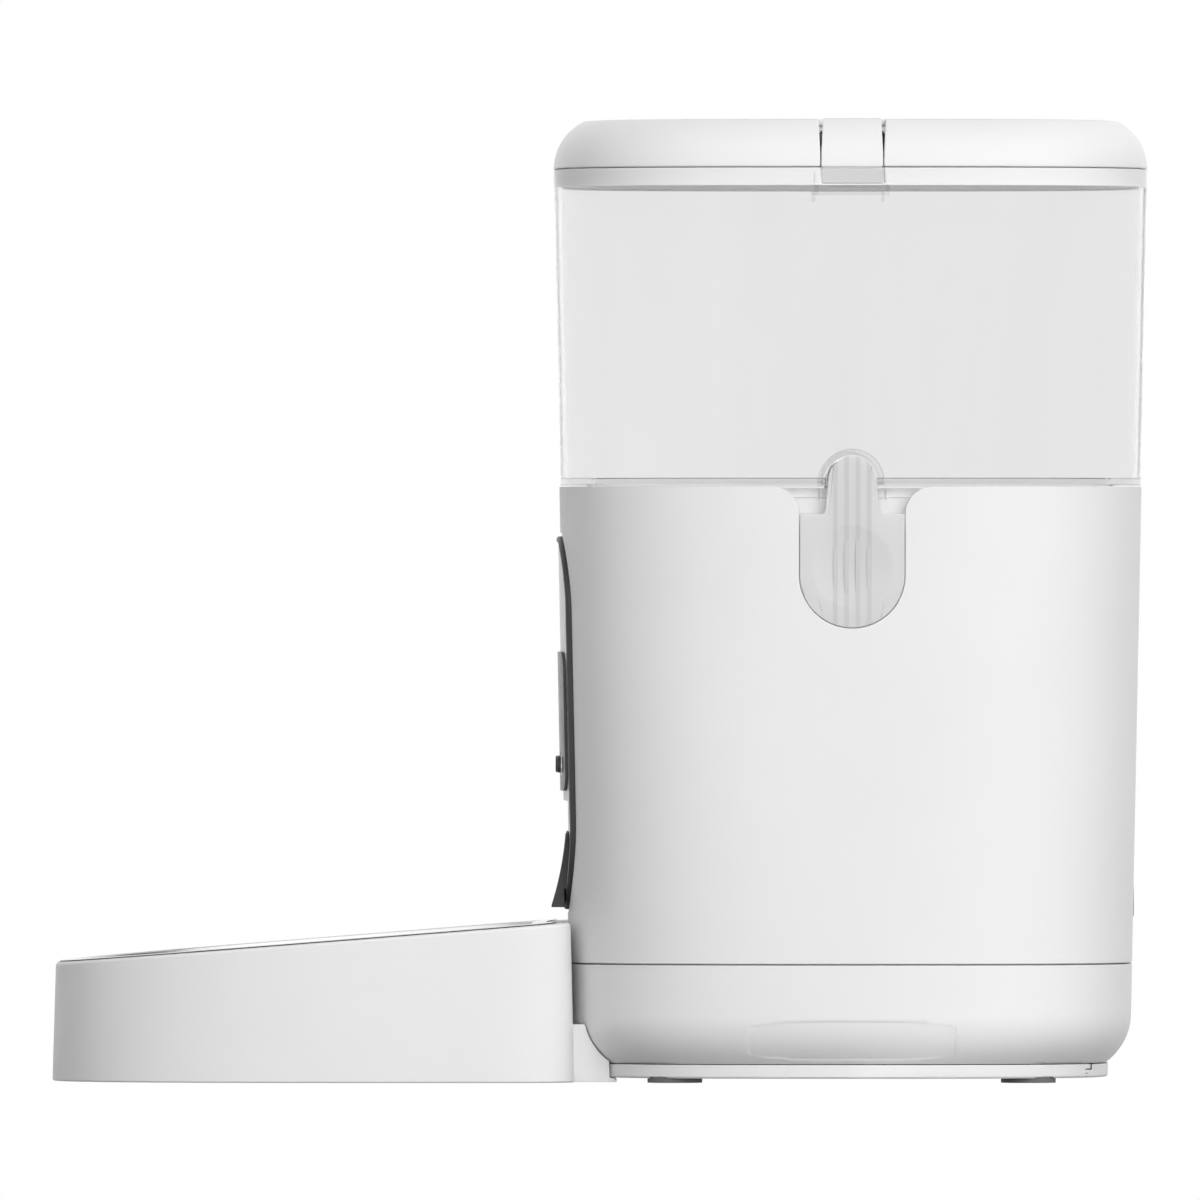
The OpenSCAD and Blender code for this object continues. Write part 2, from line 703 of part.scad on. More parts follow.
module lid_seal() color([0.9, 0.9, 0.9]) on_body() skin([
    ring(liner_half - 1, 296.5), ring(liner_half + 0.5, 296.9), ring(liner_half + 0.8, 297.4),
    ring(liner_half + 0.5, 297.9), ring(liner_half - 1, 298.3)
], closed = true);

module desiccant_cage() color(white) on_body() difference() {
    translate([0, 0, 296]) cylinder(r = 26, h = 4.8);
    translate([0, 0, 297.5]) cylinder(r = 24, h = 5);
    for (a = [0:45:315]) rotate([0, 0, a]) translate([8, -1, 290]) cube([13, 2, 20]);
}
module desiccant_pack() color([0.8, 0.85, 0.95]) on_body()
    translate([0, 0, 297.7]) cylinder(r = 23, h = 2.9);

// ---- Bowl ----
function rim_height(y) = bowl_front_z
    + (bowl_back_z - bowl_front_z) * (y + bowl_reach) / (bowl_reach - bowl_back);

// The bowl's plan, drawn in by d, and by b more at its back: a rounded front, full sides and a
// back that follows the casing.
function bowl_plan(d, b) = [
    for (i = [0:ring_steps - 1]) let (
        a = 360 * i / ring_steps,
        back = sin(a) > 0,
        n = back ? 6 : 2.7,
        x = (bowl_w - d) * power(cos(a), 2 / n),
        reach = back ? bowl_mid - bowl_corner - d - b : bowl_reach - bowl_mid - d,
        y = reach * power(sin(a), 2 / n),
        hollow = back ? bowl_hollow * power(sin(a), 4) * (1 - pow(abs(x) / bowl_w, 3)) : 0
    ) [x, y - bowl_mid - hollow]
];
function bowl_flat(d, z, b = 0) = [for (p = bowl_plan(d, b)) [p[0], p[1], z]];
function bowl_slope(d, dz, b = 0) = [for (p = bowl_plan(d, b)) [p[0], p[1], rim_height(p[1]) + dz]];

// The steel bowl stands this much further forward at its back, so that it lifts out past the hood.
seat_b = 3.4;
function seat_flat(d, z) = bowl_flat(d, z, seat_b);
function seat_slope(d, dz) = bowl_slope(d, dz, seat_b);

// The tail reaches under the casing's plinth and follows the base's rounded edge.
tail_w = 55;
module bowl_holder() color(white) on_body() {
    skin([
        bowl_flat(0.4, 0), bowl_flat(0, 0.5), bowl_slope(bowl_flare, -1.2),
        bowl_slope(bowl_flare + 0.4, -0.35), bowl_slope(bowl_flare + 1.2, 0), seat_slope(5.4, 0),
        seat_slope(5.8, -2.6), seat_slope(8.4, -2.6), seat_flat(9.6, 20), seat_flat(17, 4)
    ]);
    difference() {
        to_side(-tail_w, tail_w) polygon([
            [-96, 0], [-77, 0], [-77.6, plinth_z - 0.2], [-79.4, plinth_z - 0.1],
            [-79.6, 9], [-86, 19], [-96, 19]
        ]);
        skin(concat(
            [ring(84.8, plinth_z - 0.1), ring(85.3, plinth_z + 0.5), ring(85.3, 6)],
            base_rings(-0.5, base_floor_z + 0.5, true)
        ));
    }
}

module steel_bowl() color([0.75, 0.76, 0.78]) on_body() skin([
    seat_flat(19.2, 4.4), seat_flat(11.3, 20.6), seat_slope(9, -2.4), seat_slope(6.2, -2),
    seat_slope(5.8, 0.25), seat_slope(2.2, 0.25), seat_slope(2.2, 0.85), seat_slope(6.9, 0.85),
    seat_slope(7.1, -1.6), seat_slope(9.8, -1.8), seat_flat(12, 20.8), seat_flat(19.9, 5.2)
]);

base_shell();
bottom_cover();
feet();
cover_screws();
battery_cover();
battery_cells();
battery_contacts();
body_shell();
tank_well();
chute();
front_trim();
front_panel();
display_window();
display_board();
tact_switches();
outlet_hood();
button_rings();
left_button();
middle_button();
right_button();
motor_plate();
motor_can();
gearhead();
motor_pinion();
drive_gear();
drive_shaft();
upper_bush();
lower_bush();
main_board();
power_socket();
food_tank();
tank_floor();
left_press_latch();
right_press_latch();
rotor_hub();
rotor_paddles();
stirrer();
lid_shell();
lid_liner();
lid_seal();
desiccant_cage();
desiccant_pack();
left_lid_clip();
right_lid_clip();
clip_pins();
bowl_holder();
steel_bowl();
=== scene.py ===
"""The looks of an automatic pet feeder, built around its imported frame."""
import json
import math

import bmesh
import bpy
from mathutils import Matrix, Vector
from mathutils.kdtree import KDTree


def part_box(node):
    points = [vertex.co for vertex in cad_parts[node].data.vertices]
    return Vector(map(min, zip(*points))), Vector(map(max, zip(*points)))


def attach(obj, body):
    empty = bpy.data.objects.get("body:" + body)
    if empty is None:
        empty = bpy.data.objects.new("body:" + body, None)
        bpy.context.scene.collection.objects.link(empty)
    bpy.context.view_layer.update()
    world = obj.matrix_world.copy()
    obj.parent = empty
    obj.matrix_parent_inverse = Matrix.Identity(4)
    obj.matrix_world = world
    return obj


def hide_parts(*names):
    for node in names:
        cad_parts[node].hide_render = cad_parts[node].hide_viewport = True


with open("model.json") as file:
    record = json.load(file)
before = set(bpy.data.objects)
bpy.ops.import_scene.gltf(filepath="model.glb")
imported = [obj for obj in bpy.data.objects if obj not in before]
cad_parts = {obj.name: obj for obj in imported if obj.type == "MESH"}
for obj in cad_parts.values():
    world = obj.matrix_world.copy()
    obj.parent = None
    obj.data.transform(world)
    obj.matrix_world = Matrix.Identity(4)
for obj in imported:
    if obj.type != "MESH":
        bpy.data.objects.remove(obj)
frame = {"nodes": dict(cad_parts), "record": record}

bl_info = {
    "name": "Pet Feeder",
    "version": (1, 0, 0),
    "blender": (4, 5, 0),
    "location": "View3D > Sidebar > Feeder",
    "description": "Models the shells, clear tank, bowl and fittings of an automatic pet feeder",
    "category": "Add Mesh",
}

MM = 0.001

# ---- Sizes read from the frame ----
CASE_LOW, CASE_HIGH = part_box("body_shell")
TANK_LOW, TANK_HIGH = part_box("food_tank")
BASE_LOW, BASE_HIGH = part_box("base_shell")
LID_LOW, LID_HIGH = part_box("lid_shell")
TRIM_LOW, TRIM_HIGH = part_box("front_trim")
LATCH_LOW, LATCH_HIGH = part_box("left_press_latch")
HOLDER_LOW, HOLDER_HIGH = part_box("bowl_holder")
COVER_LOW, COVER_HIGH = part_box("bottom_cover")
BUTTON_LOW, BUTTON_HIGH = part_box("middle_button")
WINDOW_LOW, WINDOW_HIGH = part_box("display_window")
HOOD_LOW, HOOD_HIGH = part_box("outlet_hood")
CLIP_LOW, CLIP_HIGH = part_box("left_lid_clip")
PIN_LOW, PIN_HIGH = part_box("clip_pins")
FEET_LOW, FEET_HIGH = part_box("feet")
CELLS_LOW, CELLS_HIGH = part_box("battery_cells")
CONTACTS_LOW, CONTACTS_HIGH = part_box("battery_contacts")
DOOR_LOW, DOOR_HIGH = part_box("battery_cover")
SCREWS_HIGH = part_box("cover_screws")[1]
WELL_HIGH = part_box("tank_well")[1]

AXIS_Y = (CASE_LOW.y + CASE_HIGH.y) / 2
CASE_TOP = CASE_HIGH.z
SEAM_LOW = CASE_LOW.z
RIM_Z = TANK_HIGH.z
RIM_HALF = TANK_HIGH.y - AXIS_Y
DRAFT = (RIM_HALF - CASE_HIGH.x) / (RIM_Z - CASE_TOP)
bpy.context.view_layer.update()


def half_at(z):
    """Half of the casing's depth at a height."""
    return RIM_HALF + (z - RIM_Z) * DRAFT


# ---- What a user would change ----
class FeederShape(bpy.types.PropertyGroup):
    ring_points: bpy.props.IntProperty(
        name="Ring points", description="Points round each soft-square ring", default=192, min=48, max=384)
    squareness: bpy.props.FloatProperty(
        name="Squareness", description="Exponent of the soft-square plan", default=3.3, min=2.5, max=5)
    wall: bpy.props.FloatProperty(
        name="Casing wall", description="Wall of the opaque shells", default=2.6 * MM, unit="LENGTH")
    tank_wall: bpy.props.FloatProperty(
        name="Tank wall", description="Wall of the clear tank", default=2.2 * MM, unit="LENGTH")
    edge: bpy.props.FloatProperty(
        name="Edge rounding", description="Rounding of moulded edges", default=0.35 * MM, unit="LENGTH")
    lid_round: bpy.props.FloatProperty(
        name="Lid shoulder", description="Radius of the lid's shoulder", default=18 * MM, unit="LENGTH")
    base_round: bpy.props.FloatProperty(
        name="Base rounding", description="Radius of the base's lower edge", default=20 * MM, unit="LENGTH")


class FeederFinish(bpy.types.PropertyGroup):
    shell: bpy.props.FloatVectorProperty(
        name="Shell", description="Matt white of the casing and bowl", default=(0.86, 0.86, 0.86),
        subtype="COLOR", min=0, max=1)
    lid: bpy.props.FloatVectorProperty(
        name="Lid", description="Satin white of the lid", default=(0.88, 0.88, 0.88),
        subtype="COLOR", min=0, max=1)
    tank: bpy.props.FloatVectorProperty(
        name="Tank", description="Tint of the clear tank", default=(0.89, 0.89, 0.89),
        subtype="COLOR", min=0, max=1)
    trim: bpy.props.FloatVectorProperty(
        name="Trim", description="Charcoal of the panel's trim and hood", default=(0.035, 0.035, 0.037),
        subtype="COLOR", min=0, max=1)
    window: bpy.props.FloatVectorProperty(
        name="Display", description="Smoked grey of the display", default=(0.11, 0.11, 0.113),
        subtype="COLOR", min=0, max=1)


def shape():
    return bpy.context.scene.feeder_shape


def finish():
    return bpy.context.scene.feeder_finish


# ---- Modelling by hand, in code ----
def clear_selection():
    if bpy.context.object and bpy.context.object.mode != "OBJECT":
        bpy.ops.object.mode_set(mode="OBJECT")
    bpy.ops.object.select_all(action="DESELECT")


def take(piece):
    clear_selection()
    piece.select_set(True)
    bpy.context.view_layer.objects.active = piece


def edit(piece, mode="VERT"):
    take(piece)
    bpy.ops.object.mode_set(mode="EDIT")
    bpy.ops.mesh.select_mode(type=mode)


def done(piece):
    """Leaves edit mode with doubles merged and the faces turned outwards."""
    bpy.ops.mesh.select_all(action="SELECT")
    bpy.ops.mesh.remove_doubles(threshold=1e-7)
    bpy.ops.mesh.normals_make_consistent(inside=False)
    bpy.ops.object.mode_set(mode="OBJECT")
    return piece


def select_points(piece, wanted):
    """In edit mode, selects the points whose place passes the test."""
    mesh = bmesh.from_edit_mesh(piece.data)
    mesh.select_mode = {"VERT"}
    for point in mesh.verts:
        point.select = wanted(point.co)
    mesh.select_flush_mode()
    bmesh.update_edit_mesh(piece.data)


def select_faces(piece, wanted):
    """In edit mode, selects the faces whose direction passes the test."""
    mesh = bmesh.from_edit_mesh(piece.data)
    for face in mesh.faces:
        face.select = wanted(face.normal)
    bmesh.update_edit_mesh(piece.data)


def name_piece(name):
    piece = bpy.context.object
    piece.name = name
    piece.data.name = name
    return piece


def modify(piece, kind, **settings):
    take(piece)
    modifier = piece.modifiers.new(kind, kind)
    for key, value in settings.items():
        setattr(modifier, key, value)
    bpy.ops.object.modifier_apply(modifier=modifier.name)
    return piece


def combine(piece, tool, operation):
    modify(piece, "BOOLEAN", object=tool, operation=operation, solver="EXACT")
    bpy.data.objects.remove(tool)
    return piece


def cut(piece, tool):
    return combine(piece, tool, "DIFFERENCE")


def add(piece, tool):
    return combine(piece, tool, "UNION")


def meet(piece, tool):
    return combine(piece, tool, "INTERSECT")


def soften(piece, width=None, segments=2, angle=40):
    """Rounds the moulded edges and smooths the shading between them."""
    if width != 0:
        modify(
            piece, "BEVEL", width=width or shape().edge, segments=segments, limit_method="ANGLE",
            angle_limit=math.radians(angle), use_clamp_overlap=False, miter_outer="MITER_ARC")
    take(piece)
    bpy.ops.object.shade_smooth_by_angle(angle=math.radians(35))
    return modify(piece, "WEIGHTED_NORMAL", keep_sharp=True)


def arc(x, y, radius, start, end, steps=10):
    """Points along an arc, angles in degrees."""
    angles = [math.radians(start + (end - start) * i / steps) for i in range(steps + 1)]
    return [(x + radius * math.cos(a), y + radius * math.sin(a)) for a in angles]


def outline(name, corners):
    """A flat face with these corners: a circle whose points are moved to the outline."""
    clear_selection()
    bpy.ops.mesh.primitive_circle_add(vertices=len(corners), radius=1, fill_type="NGON", location=(0, 0, 0))
    piece = name_piece(name)
    for point, corner in zip(piece.data.vertices, corners):
        point.co = corner
    return piece


def push(piece, distance):
    """Extrudes an outline into a solid."""
    edit(piece, "FACE")
    bpy.ops.mesh.select_all(action="SELECT")
    bpy.ops.mesh.extrude_region_move(TRANSFORM_OT_translate={"value": distance})
    return done(piece)


def sideways(name, corners, x0, x1):
    """An outline of (y from the axis, z) pushed along X."""
    return push(outline(name, [(x0, AXIS_Y + y, z) for y, z in corners]), (x1 - x0, 0, 0))


def forwards(name, corners, y0=-0.06, y1=-0.115):
    """An outline of (x, z) pushed along Y, both ends measured from the axis."""
    return push(outline(name, [(x, AXIS_Y + y0, z) for x, z in corners]), (0, y1 - y0, 0))


def block(name, low, high):
    clear_selection()
    centre = (Vector(low) + Vector(high)) / 2
    size = Vector(high) - Vector(low)
    bpy.ops.mesh.primitive_cube_add(size=1, location=centre, scale=size)
    piece = name_piece(name)
    bpy.ops.object.transform_apply(location=True, rotation=True, scale=True)
    return piece


def rod(name, centre, radius, length, axis="Z", points=64, end_radius=None):
    clear_selection()
    turn = {"Z": (0, 0, 0), "Y": (math.pi / 2, 0, 0), "X": (0, math.pi / 2, 0)}[axis]
    bpy.ops.mesh.primitive_cone_add(
        vertices=points, radius1=radius, radius2=radius if end_radius is None else end_radius,
        depth=length, location=centre, rotation=turn)
    piece = name_piece(name)
    bpy.ops.object.transform_apply(location=True, rotation=True, scale=True)
    return piece


def reach(x, y, power):
    """How big a soft square passes through a point."""
    return (abs(x) ** power + abs(y) ** power) ** (1 / power)


def soft_square(name, half, z, power=None):
    """A ring with the casing's plan."""
    clear_selection()
    bpy.ops.mesh.primitive_circle_add(vertices=shape().ring_points, radius=half, location=(0, AXIS_Y, z))
    ring = name_piece(name)
    bpy.ops.object.transform_apply(location=True)
    for point in ring.data.vertices:
        x, y = point.co.x, point.co.y - AXIS_Y
        size = half / reach(x, y, power or shape().squareness)
        point.co = (x * size, AXIS_Y + y * size, z)
    return ring


def on_ring(half, z, power):
    def test(place):
        size = reach(place.x, place.y - AXIS_Y, power)
        return abs(place.z - z) < 1e-6 and abs(size - half) < 1e-5
    return test


def reshape(piece, half, power):
    """In edit mode, moves the selected ring's points onto a soft square."""
    mesh = bmesh.from_edit_mesh(piece.data)
    for point in mesh.verts:
        if point.select:
            x, y = point.co.x, point.co.y - AXIS_Y
            size = half / reach(x, y, power)
            point.co = (x * size, AXIS_Y + y * size, point.co.z)
    bmesh.update_edit_mesh(piece.data)


def soft_shell(name, profile, hollow=False):
    """A solid through a profile of (half, z) or (half, z, exponent); a hollow one ends where it began."""
    rings = [(*ring, shape().squareness)[:3] for ring in profile]
    shell = soft_square(name, *rings[0])
    edit(shell, "EDGE")
    bpy.ops.mesh.select_all(action="SELECT")
    for (half, z, power), (next_half, next_z, next_power) in zip(rings, rings[1:]):
        bpy.ops.mesh.extrude_region_move(TRANSFORM_OT_translate={"value": (0, 0, next_z - z)})
        size = next_half / half
        bpy.ops.transform.resize(value=(size, size, 1), center_override=(0, AXIS_Y, next_z))
        if next_power != power:
            reshape(shell, next_half, next_power)
    first, last = on_ring(*rings[0]), on_ring(*rings[-1])
    if hollow:
        select_points(shell, lambda spot: first(spot) or last(spot))
        bpy.ops.mesh.bridge_edge_loops()
    else:
        for end in (first, last):
            select_points(shell, end)
            bpy.ops.mesh.edge_face_add()
    return done(shell)


def form(name, grow, low, high):
    """The casing's outer form, grown, between two heights."""
    return soft_shell(name, [(half_at(low) + grow, low), (half_at(high) + grow, high)])


def layer(name, inner, outer, low, high):
    """A layer of that form."""
    return soft_shell(name, [
        (half_at(low) + outer, low), (half_at(high) + outer, high),
        (half_at(high) + inner, high), (half_at(low) + inner, low)], hollow=True)


def mirrored(piece, name):
    """A copy on the other side of the X = 0 plane."""
    twin = piece.copy()
    twin.data = piece.data.copy()
    twin.name = twin.data.name = name
    bpy.context.scene.collection.objects.link(twin)
    take(twin)
    bpy.ops.object.mode_set(mode="EDIT")
    bpy.ops.mesh.select_all(action="SELECT")
    bpy.ops.transform.mirror(constraint_axis=(True, False, False), center_override=(0, 0, 0))
    return done(twin)


def together(piece, *others):
    """Joins closed solids into one object."""
    take(piece)
    for other in others:
        other.select_set(True)
    bpy.ops.object.join()
    return piece


def both_sides(make):
    """A tool at +X and its mirror image, as one object."""
    one = make()
    return together(one, mirrored(one, one.name + "_twin"))


def place(piece, body, material, slot, *nodes):
    """Gives a finished piece its material and body, and hides the nodes that it stands for."""
    piece.data.materials.clear()
    piece.data.materials.append(material)
    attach(piece, body)
    if nodes:
        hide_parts(*nodes)
    return piece


# ---- Materials ----
class Finish:
    """A material being built: its principled shader and the nodes that drive it."""

    def __init__(self, name, **sockets):
        self.material = bpy.data.materials.new(name)
        self.material.use_nodes = True
        self.nodes = self.material.node_tree.nodes
        self.links = self.material.node_tree.links
        self.shader = self.nodes["Principled BSDF"]
        self.place = self.nodes.new("ShaderNodeTexCoord").outputs["Object"]
        for key, value in sockets.items():
            self.shader.inputs[key.replace("_", " ")].default_value = value

    def node(self, kind, links=(), **settings):
        node = self.nodes.new("ShaderNode" + kind)
        for key, value in settings.items():
            if hasattr(node, key):
                setattr(node, key, value)
            else:
                node.inputs[key.replace("_", " ")].default_value = value
        for socket, source in dict(links).items():
            self.links.new(source, node.inputs[socket])
        return node

    def stretch(self, scale):
        return self.node("Mapping", {"Vector": self.place}, Scale=scale).outputs["Vector"]

    def noise(self, scale, detail=3, where=None, roughness=0.5):
        node = self.node(
            "TexNoise", {"Vector": where or self.place}, Scale=scale, Detail=detail, Roughness=roughness)
        return node.outputs["Fac"]

    def ramp(self, source, low, high, start=0.3, end=0.7):
        node = self.node("MapRange", {"Value": source})
        node.inputs["From Min"].default_value = start
        node.inputs["From Max"].default_value = end
        node.inputs["To Min"].default_value = low
        node.inputs["To Max"].default_value = high
        return node.outputs["Result"]

    def mix(self, factor, one, two):
        node = self.nodes.new("ShaderNodeMix")
        node.data_type = "RGBA"
        self.links.new(factor, node.inputs["Factor"])
        for socket, colour in (("A", one), ("B", two)):
            target = [i for i in node.inputs if i.name == socket and i.type == "RGBA"][0]
            if isinstance(colour, bpy.types.NodeSocket):
                self.links.new(colour, target)
            else:
                target.default_value = (*colour[:3], 1)
        return [o for o in node.outputs if o.type == "RGBA"][0]

    def colour(self, source):
        self.links.new(source, self.shader.inputs["Base Color"])
        return self

    def rough(self, source):
        self.links.new(source, self.shader.inputs["Roughness"])
        return self

    def bump(self, source, depth, strength=1.0):
        previous = self.shader.inputs["Normal"].links
        node = self.node("Bump", {"Height": source}, Strength=strength, Distance=depth)
        if previous:
            self.links.new(previous[0].from_socket, node.inputs["Normal"])
        self.links.new(node.outputs["Normal"], self.shader.inputs["Normal"])
        return self


def shade(colour, factor):
    return tuple(min(1, c * factor) for c in colour[:3])


def moulded(
        name, colour, roughness=0.5, grain=2200, depth=0.03 * MM, spread=0.06, painted_shade_below=None, **sockets):
    """Moulded plastic: a fine spark-eroded grain, and a slight drift of colour and gloss.

    Below a height, if one is given, it is painted greyer: painted shade, as on a leg set back in a recess.
    """
    look = Finish(name, **sockets)
    drift = look.noise(18, 2)
    fine = look.noise(grain, 2)
    tint = look.mix(look.ramp(drift, 0, 1), shade(colour, 0.985), shade(colour, 1.01))
    # Painted shade: below the height the colour is 0.74 as bright.
    if painted_shade_below:
        height = look.node("SeparateXYZ", {"Vector": look.place}).outputs["Z"]
        above = look.node("Math", {0: height}, operation="GREATER_THAN")
        above.inputs[1].default_value = painted_shade_below
        tint = look.mix(above.outputs[0], shade(colour, 0.74), tint)
    look.colour(tint)
    look.rough(look.ramp(look.noise(140, 4), roughness - spread, roughness + spread))
    return look.bump(fine, depth, 0.6).material


FROST_LOW = 294.2 * MM
FROST_HIGH = 294.4 * MM


def clear_plastic(name, colour, roughness, clear=1.0, painted_rib_shade=0.0, rim=False):
    """Clear plastic: thin walls that tint and hardly bend what is seen through them, under a glossy skin.

    Ribs stand behind the skin as real shapes, and darker stripes are painted over them as painted shade; a
    rim is frosted white.
    """
    look = Finish(name, IOR=1.015, Transmission_Weight=clear, Coat_Weight=0.25, Coat_Roughness=0.08)
    flow = look.noise(30, 3, look.stretch((1, 1, 0.15)))
    body = look.mix(look.ramp(flow, 0, 1), shade(colour, 0.985), shade(colour, 1.01))
    along = look.node("SeparateXYZ", {"Vector": look.place}).outputs
    if rim:
        body = look.mix(look.ramp(along["Z"], 0, 1, FROST_LOW, FROST_HIGH), body, (0.95, 0.95, 0.95))
        frost = look.ramp(along["Z"], clear, 0.1, FROST_LOW, FROST_HIGH)
        look.links.new(frost, look.shader.inputs["Transmission Weight"])
    # Painted shade: darker stripes where the ribs stand behind the skin.
    if painted_rib_shade:
        off_middle = look.node("Math", {0: along["Y"]}, operation="SUBTRACT")
        off_middle.inputs[1].default_value = AXIS_Y
        wave = look.node("Math", {0: off_middle.outputs[0]}, operation="PINGPONG")
        wave.inputs[1].default_value = 1.85 * MM
        inside = look.node("Math", {0: off_middle.outputs[0]}, operation="ABSOLUTE")
        stripe = look.node("Math", {
            0: look.ramp(wave.outputs[0], 0, 1, 1.0 * MM, 1.15 * MM),
            1: look.ramp(inside.outputs[0], 1, 0, 6.4 * MM, 6.5 * MM)}, operation="MULTIPLY")
        body = look.mix(stripe.outputs[0], body, shade(colour, 1 - painted_rib_shade))
    look.colour(body)
    look.rough(look.ramp(look.noise(90, 3), roughness * 0.7, roughness * 1.3))
    return look.bump(flow, 0.01 * MM, 0.2).material


def metal(name, colour, roughness, lay=(1, 1, 1), scale=900, depth=0.004 * MM, **sockets):
    """Metal with the marks of its making along one direction."""
    look = Finish(name, Metallic=1.0, **sockets)
    marks = look.noise(scale, 4, look.stretch(lay))
    look.colour(look.mix(look.ramp(look.noise(25, 3), 0, 1), shade(colour, 0.92), shade(colour, 1.05)))
    look.rough(look.ramp(marks, roughness * 0.75, roughness * 1.3))
    return look.bump(marks, depth, 0.5).material


def soft_rubber(name, colour, roughness=0.75, **sockets):
    look = Finish(name, **sockets)
    look.colour(look.mix(look.ramp(look.noise(60, 4), 0, 1), shade(colour, 0.88), shade(colour, 1.08)))
    look.rough(look.ramp(look.noise(300, 3), roughness - 0.1, roughness + 0.08))
    return look.bump(look.noise(2600, 3), 0.04 * MM, 0.7).material


def circuit(name):
    """A solder-masked board: copper tracks under green, and bare pads."""
    look = Finish(name, Roughness=0.35, Coat_Weight=0.4)
    tracks = look.node("TexBrick", {"Vector": look.stretch((1, 1, 1))}, Scale=240, Mortar_Size=0.04)
    pads = look.node("TexVoronoi", {"Vector": look.place}, Scale=420)
    green = look.mix(tracks.outputs["Fac"], (0.012, 0.10, 0.045), (0.03, 0.20, 0.09))
    pad = look.ramp(pads.outputs["Distance"], 1, 0, 0.12, 0.16)
    look.colour(look.mix(pad, green, (0.55, 0.52, 0.45)))
    return look.bump(tracks.outputs["Fac"], 0.03 * MM, 0.5).material


def cell_jacket(name):
    """A battery's jacket: a copper-coloured end and a dark body, with a shrink-film gloss."""
    low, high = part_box("battery_cells")
    look = Finish(name, Roughness=0.28, Coat_Weight=0.6, Coat_Roughness=0.1)
    along = look.node("SeparateXYZ", {"Vector": look.place}).outputs["Y"]
    edge = high.y - 0.3 * (high.y - low.y)
    band = look.ramp(along, 0, 1, edge - 0.2 * MM, edge + 0.2 * MM)
    look.colour(look.mix(band, (0.018, 0.018, 0.02), (0.42, 0.20, 0.08)))
    look.rough(look.ramp(look.noise(120, 3), 0.2, 0.36))
    return look.bump(look.noise(500, 3), 0.01 * MM, 0.4).material


def non_woven(name, colour):
    """The pouch cloth: crossed fibres pressed together."""
    look = Finish(name, Roughness=0.85, Sheen_Weight=0.3)
    fibres = look.noise(1400, 5, look.stretch((1, 0.25, 1)))
    cross = look.noise(1400, 5, look.stretch((0.25, 1, 1)))
    look.colour(look.mix(look.ramp(fibres, 0, 1), shade(colour, 0.85), colour))
    look.bump(fibres, 0.08 * MM, 0.7)
    return look.bump(cross, 0.08 * MM, 0.7).material


MATERIALS = {}


def make_materials():
    colours = finish()
    white = (0.86, 0.86, 0.87)
    MATERIALS.update(
        white_shell=moulded("matt_white_shell", colours.shell, 0.52, 1500, 0.045 * MM),
        panel_white=moulded("satin_white_panel", white, 0.38, 2600, 0.02 * MM),
        # Painted light: a whiter white than the shell, to make up for the shade the well sits in.
        inner_plastic=moulded("inner_white_plastic_brightened", (0.95, 0.95, 0.95), 0.45, 2000, 0.03 * MM),
        # The clips' legs below the tank's rim are painted greyer: painted shade of the recess they sit in.
        lid_gloss=moulded(
            "satin_white_lid", colours.lid, 0.36, 3000, 0.006 * MM, 0.01, painted_shade_below=RIM_Z - 0.3 * MM),
        clear_tank=clear_plastic("clear_smoked_tank", colours.tank, 0.03, rim=True),
        # The latch's rib stripes are painted shade.
        clear_latch=clear_plastic("clear_smoked_latch", (0.87, 0.87, 0.87), 0.2, clear=0.3, painted_rib_shade=0.13),
        charcoal_trim=moulded("charcoal_trim", colours.trim, 0.42, 2400, 0.02 * MM),
        smoked_window=moulded(
            "smoked_display", colours.window, 0.25, 3000, 0.004 * MM, 0.03, IOR=1.1),
        black_parts=moulded("black_plastic", (0.02, 0.02, 0.021), 0.35, 2600, 0.01 * MM),
        ring_chrome=metal("button_chrome", (0.78, 0.78, 0.79), 0.08, depth=0.001 * MM),
        foot_rubber=soft_rubber("grey_foot_rubber", (0.16, 0.16, 0.165)),
        seal_rubber=soft_rubber("white_silicone", (0.86, 0.86, 0.86), 0.5, Subsurface_Weight=0.2),
        paddle_rubber=soft_rubber("cream_silicone", (0.75, 0.74, 0.68), 0.5, Subsurface_Weight=0.2),
        rotor_plastic=moulded("rotor_plastic", (0.5, 0.55, 0.58), 0.4),
        gear_nylon=moulded("gear_nylon", (0.75, 0.71, 0.6), 0.42, 900, 0.02 * MM, Subsurface_Weight=0.15),
        pinion_brass=metal("turned_brass", (0.75, 0.52, 0.2), 0.25, (1, 1, 8)),
        bush_bronze=metal("sintered_bronze", (0.5, 0.3, 0.16), 0.45, scale=2500, depth=0.02 * MM),
        shaft_steel=metal("ground_steel", (0.62, 0.62, 0.63), 0.2, (1, 1, 12)),
        screw_steel=metal("zinc_plated_steel", (0.6, 0.61, 0.64), 0.3),
        contact_steel=metal("nickel_plate", (0.66, 0.65, 0.62), 0.18),
        motor_steel=metal("motor_can_steel", (0.6, 0.6, 0.6), 0.26, (1, 1, 10)),
        gearhead_zinc=metal("die_cast_zinc", (0.42, 0.42, 0.43), 0.42, scale=1500, depth=0.02 * MM),
        bowl_steel=metal("satin_bowl_steel", (0.66, 0.665, 0.67), 0.24, (1, 1, 9), 700),
        cell_jacket=cell_jacket("battery_jacket"),
        circuit_green=circuit("green_circuit_board"),
        desiccant_cloth=non_woven("desiccant_pouch_cloth", (0.72, 0.77, 0.85)),
    )


class FeederPart(bpy.types.Operator):
    """The options that every part's operator has"""
    bl_options = {"REGISTER", "UNDO"}

    def execute(self, context):
        self.build()
        return {"FINISHED"}


# ---- Casing ----
NOTCH_GAP = 0.2 * MM
NOTCH_W = (LATCH_HIGH.y - LATCH_LOW.y) / 2 + NOTCH_GAP
NOTCH_ARC_Z = LATCH_LOW.z + NOTCH_W - NOTCH_GAP
NOTCH_ROUND = 9 * MM


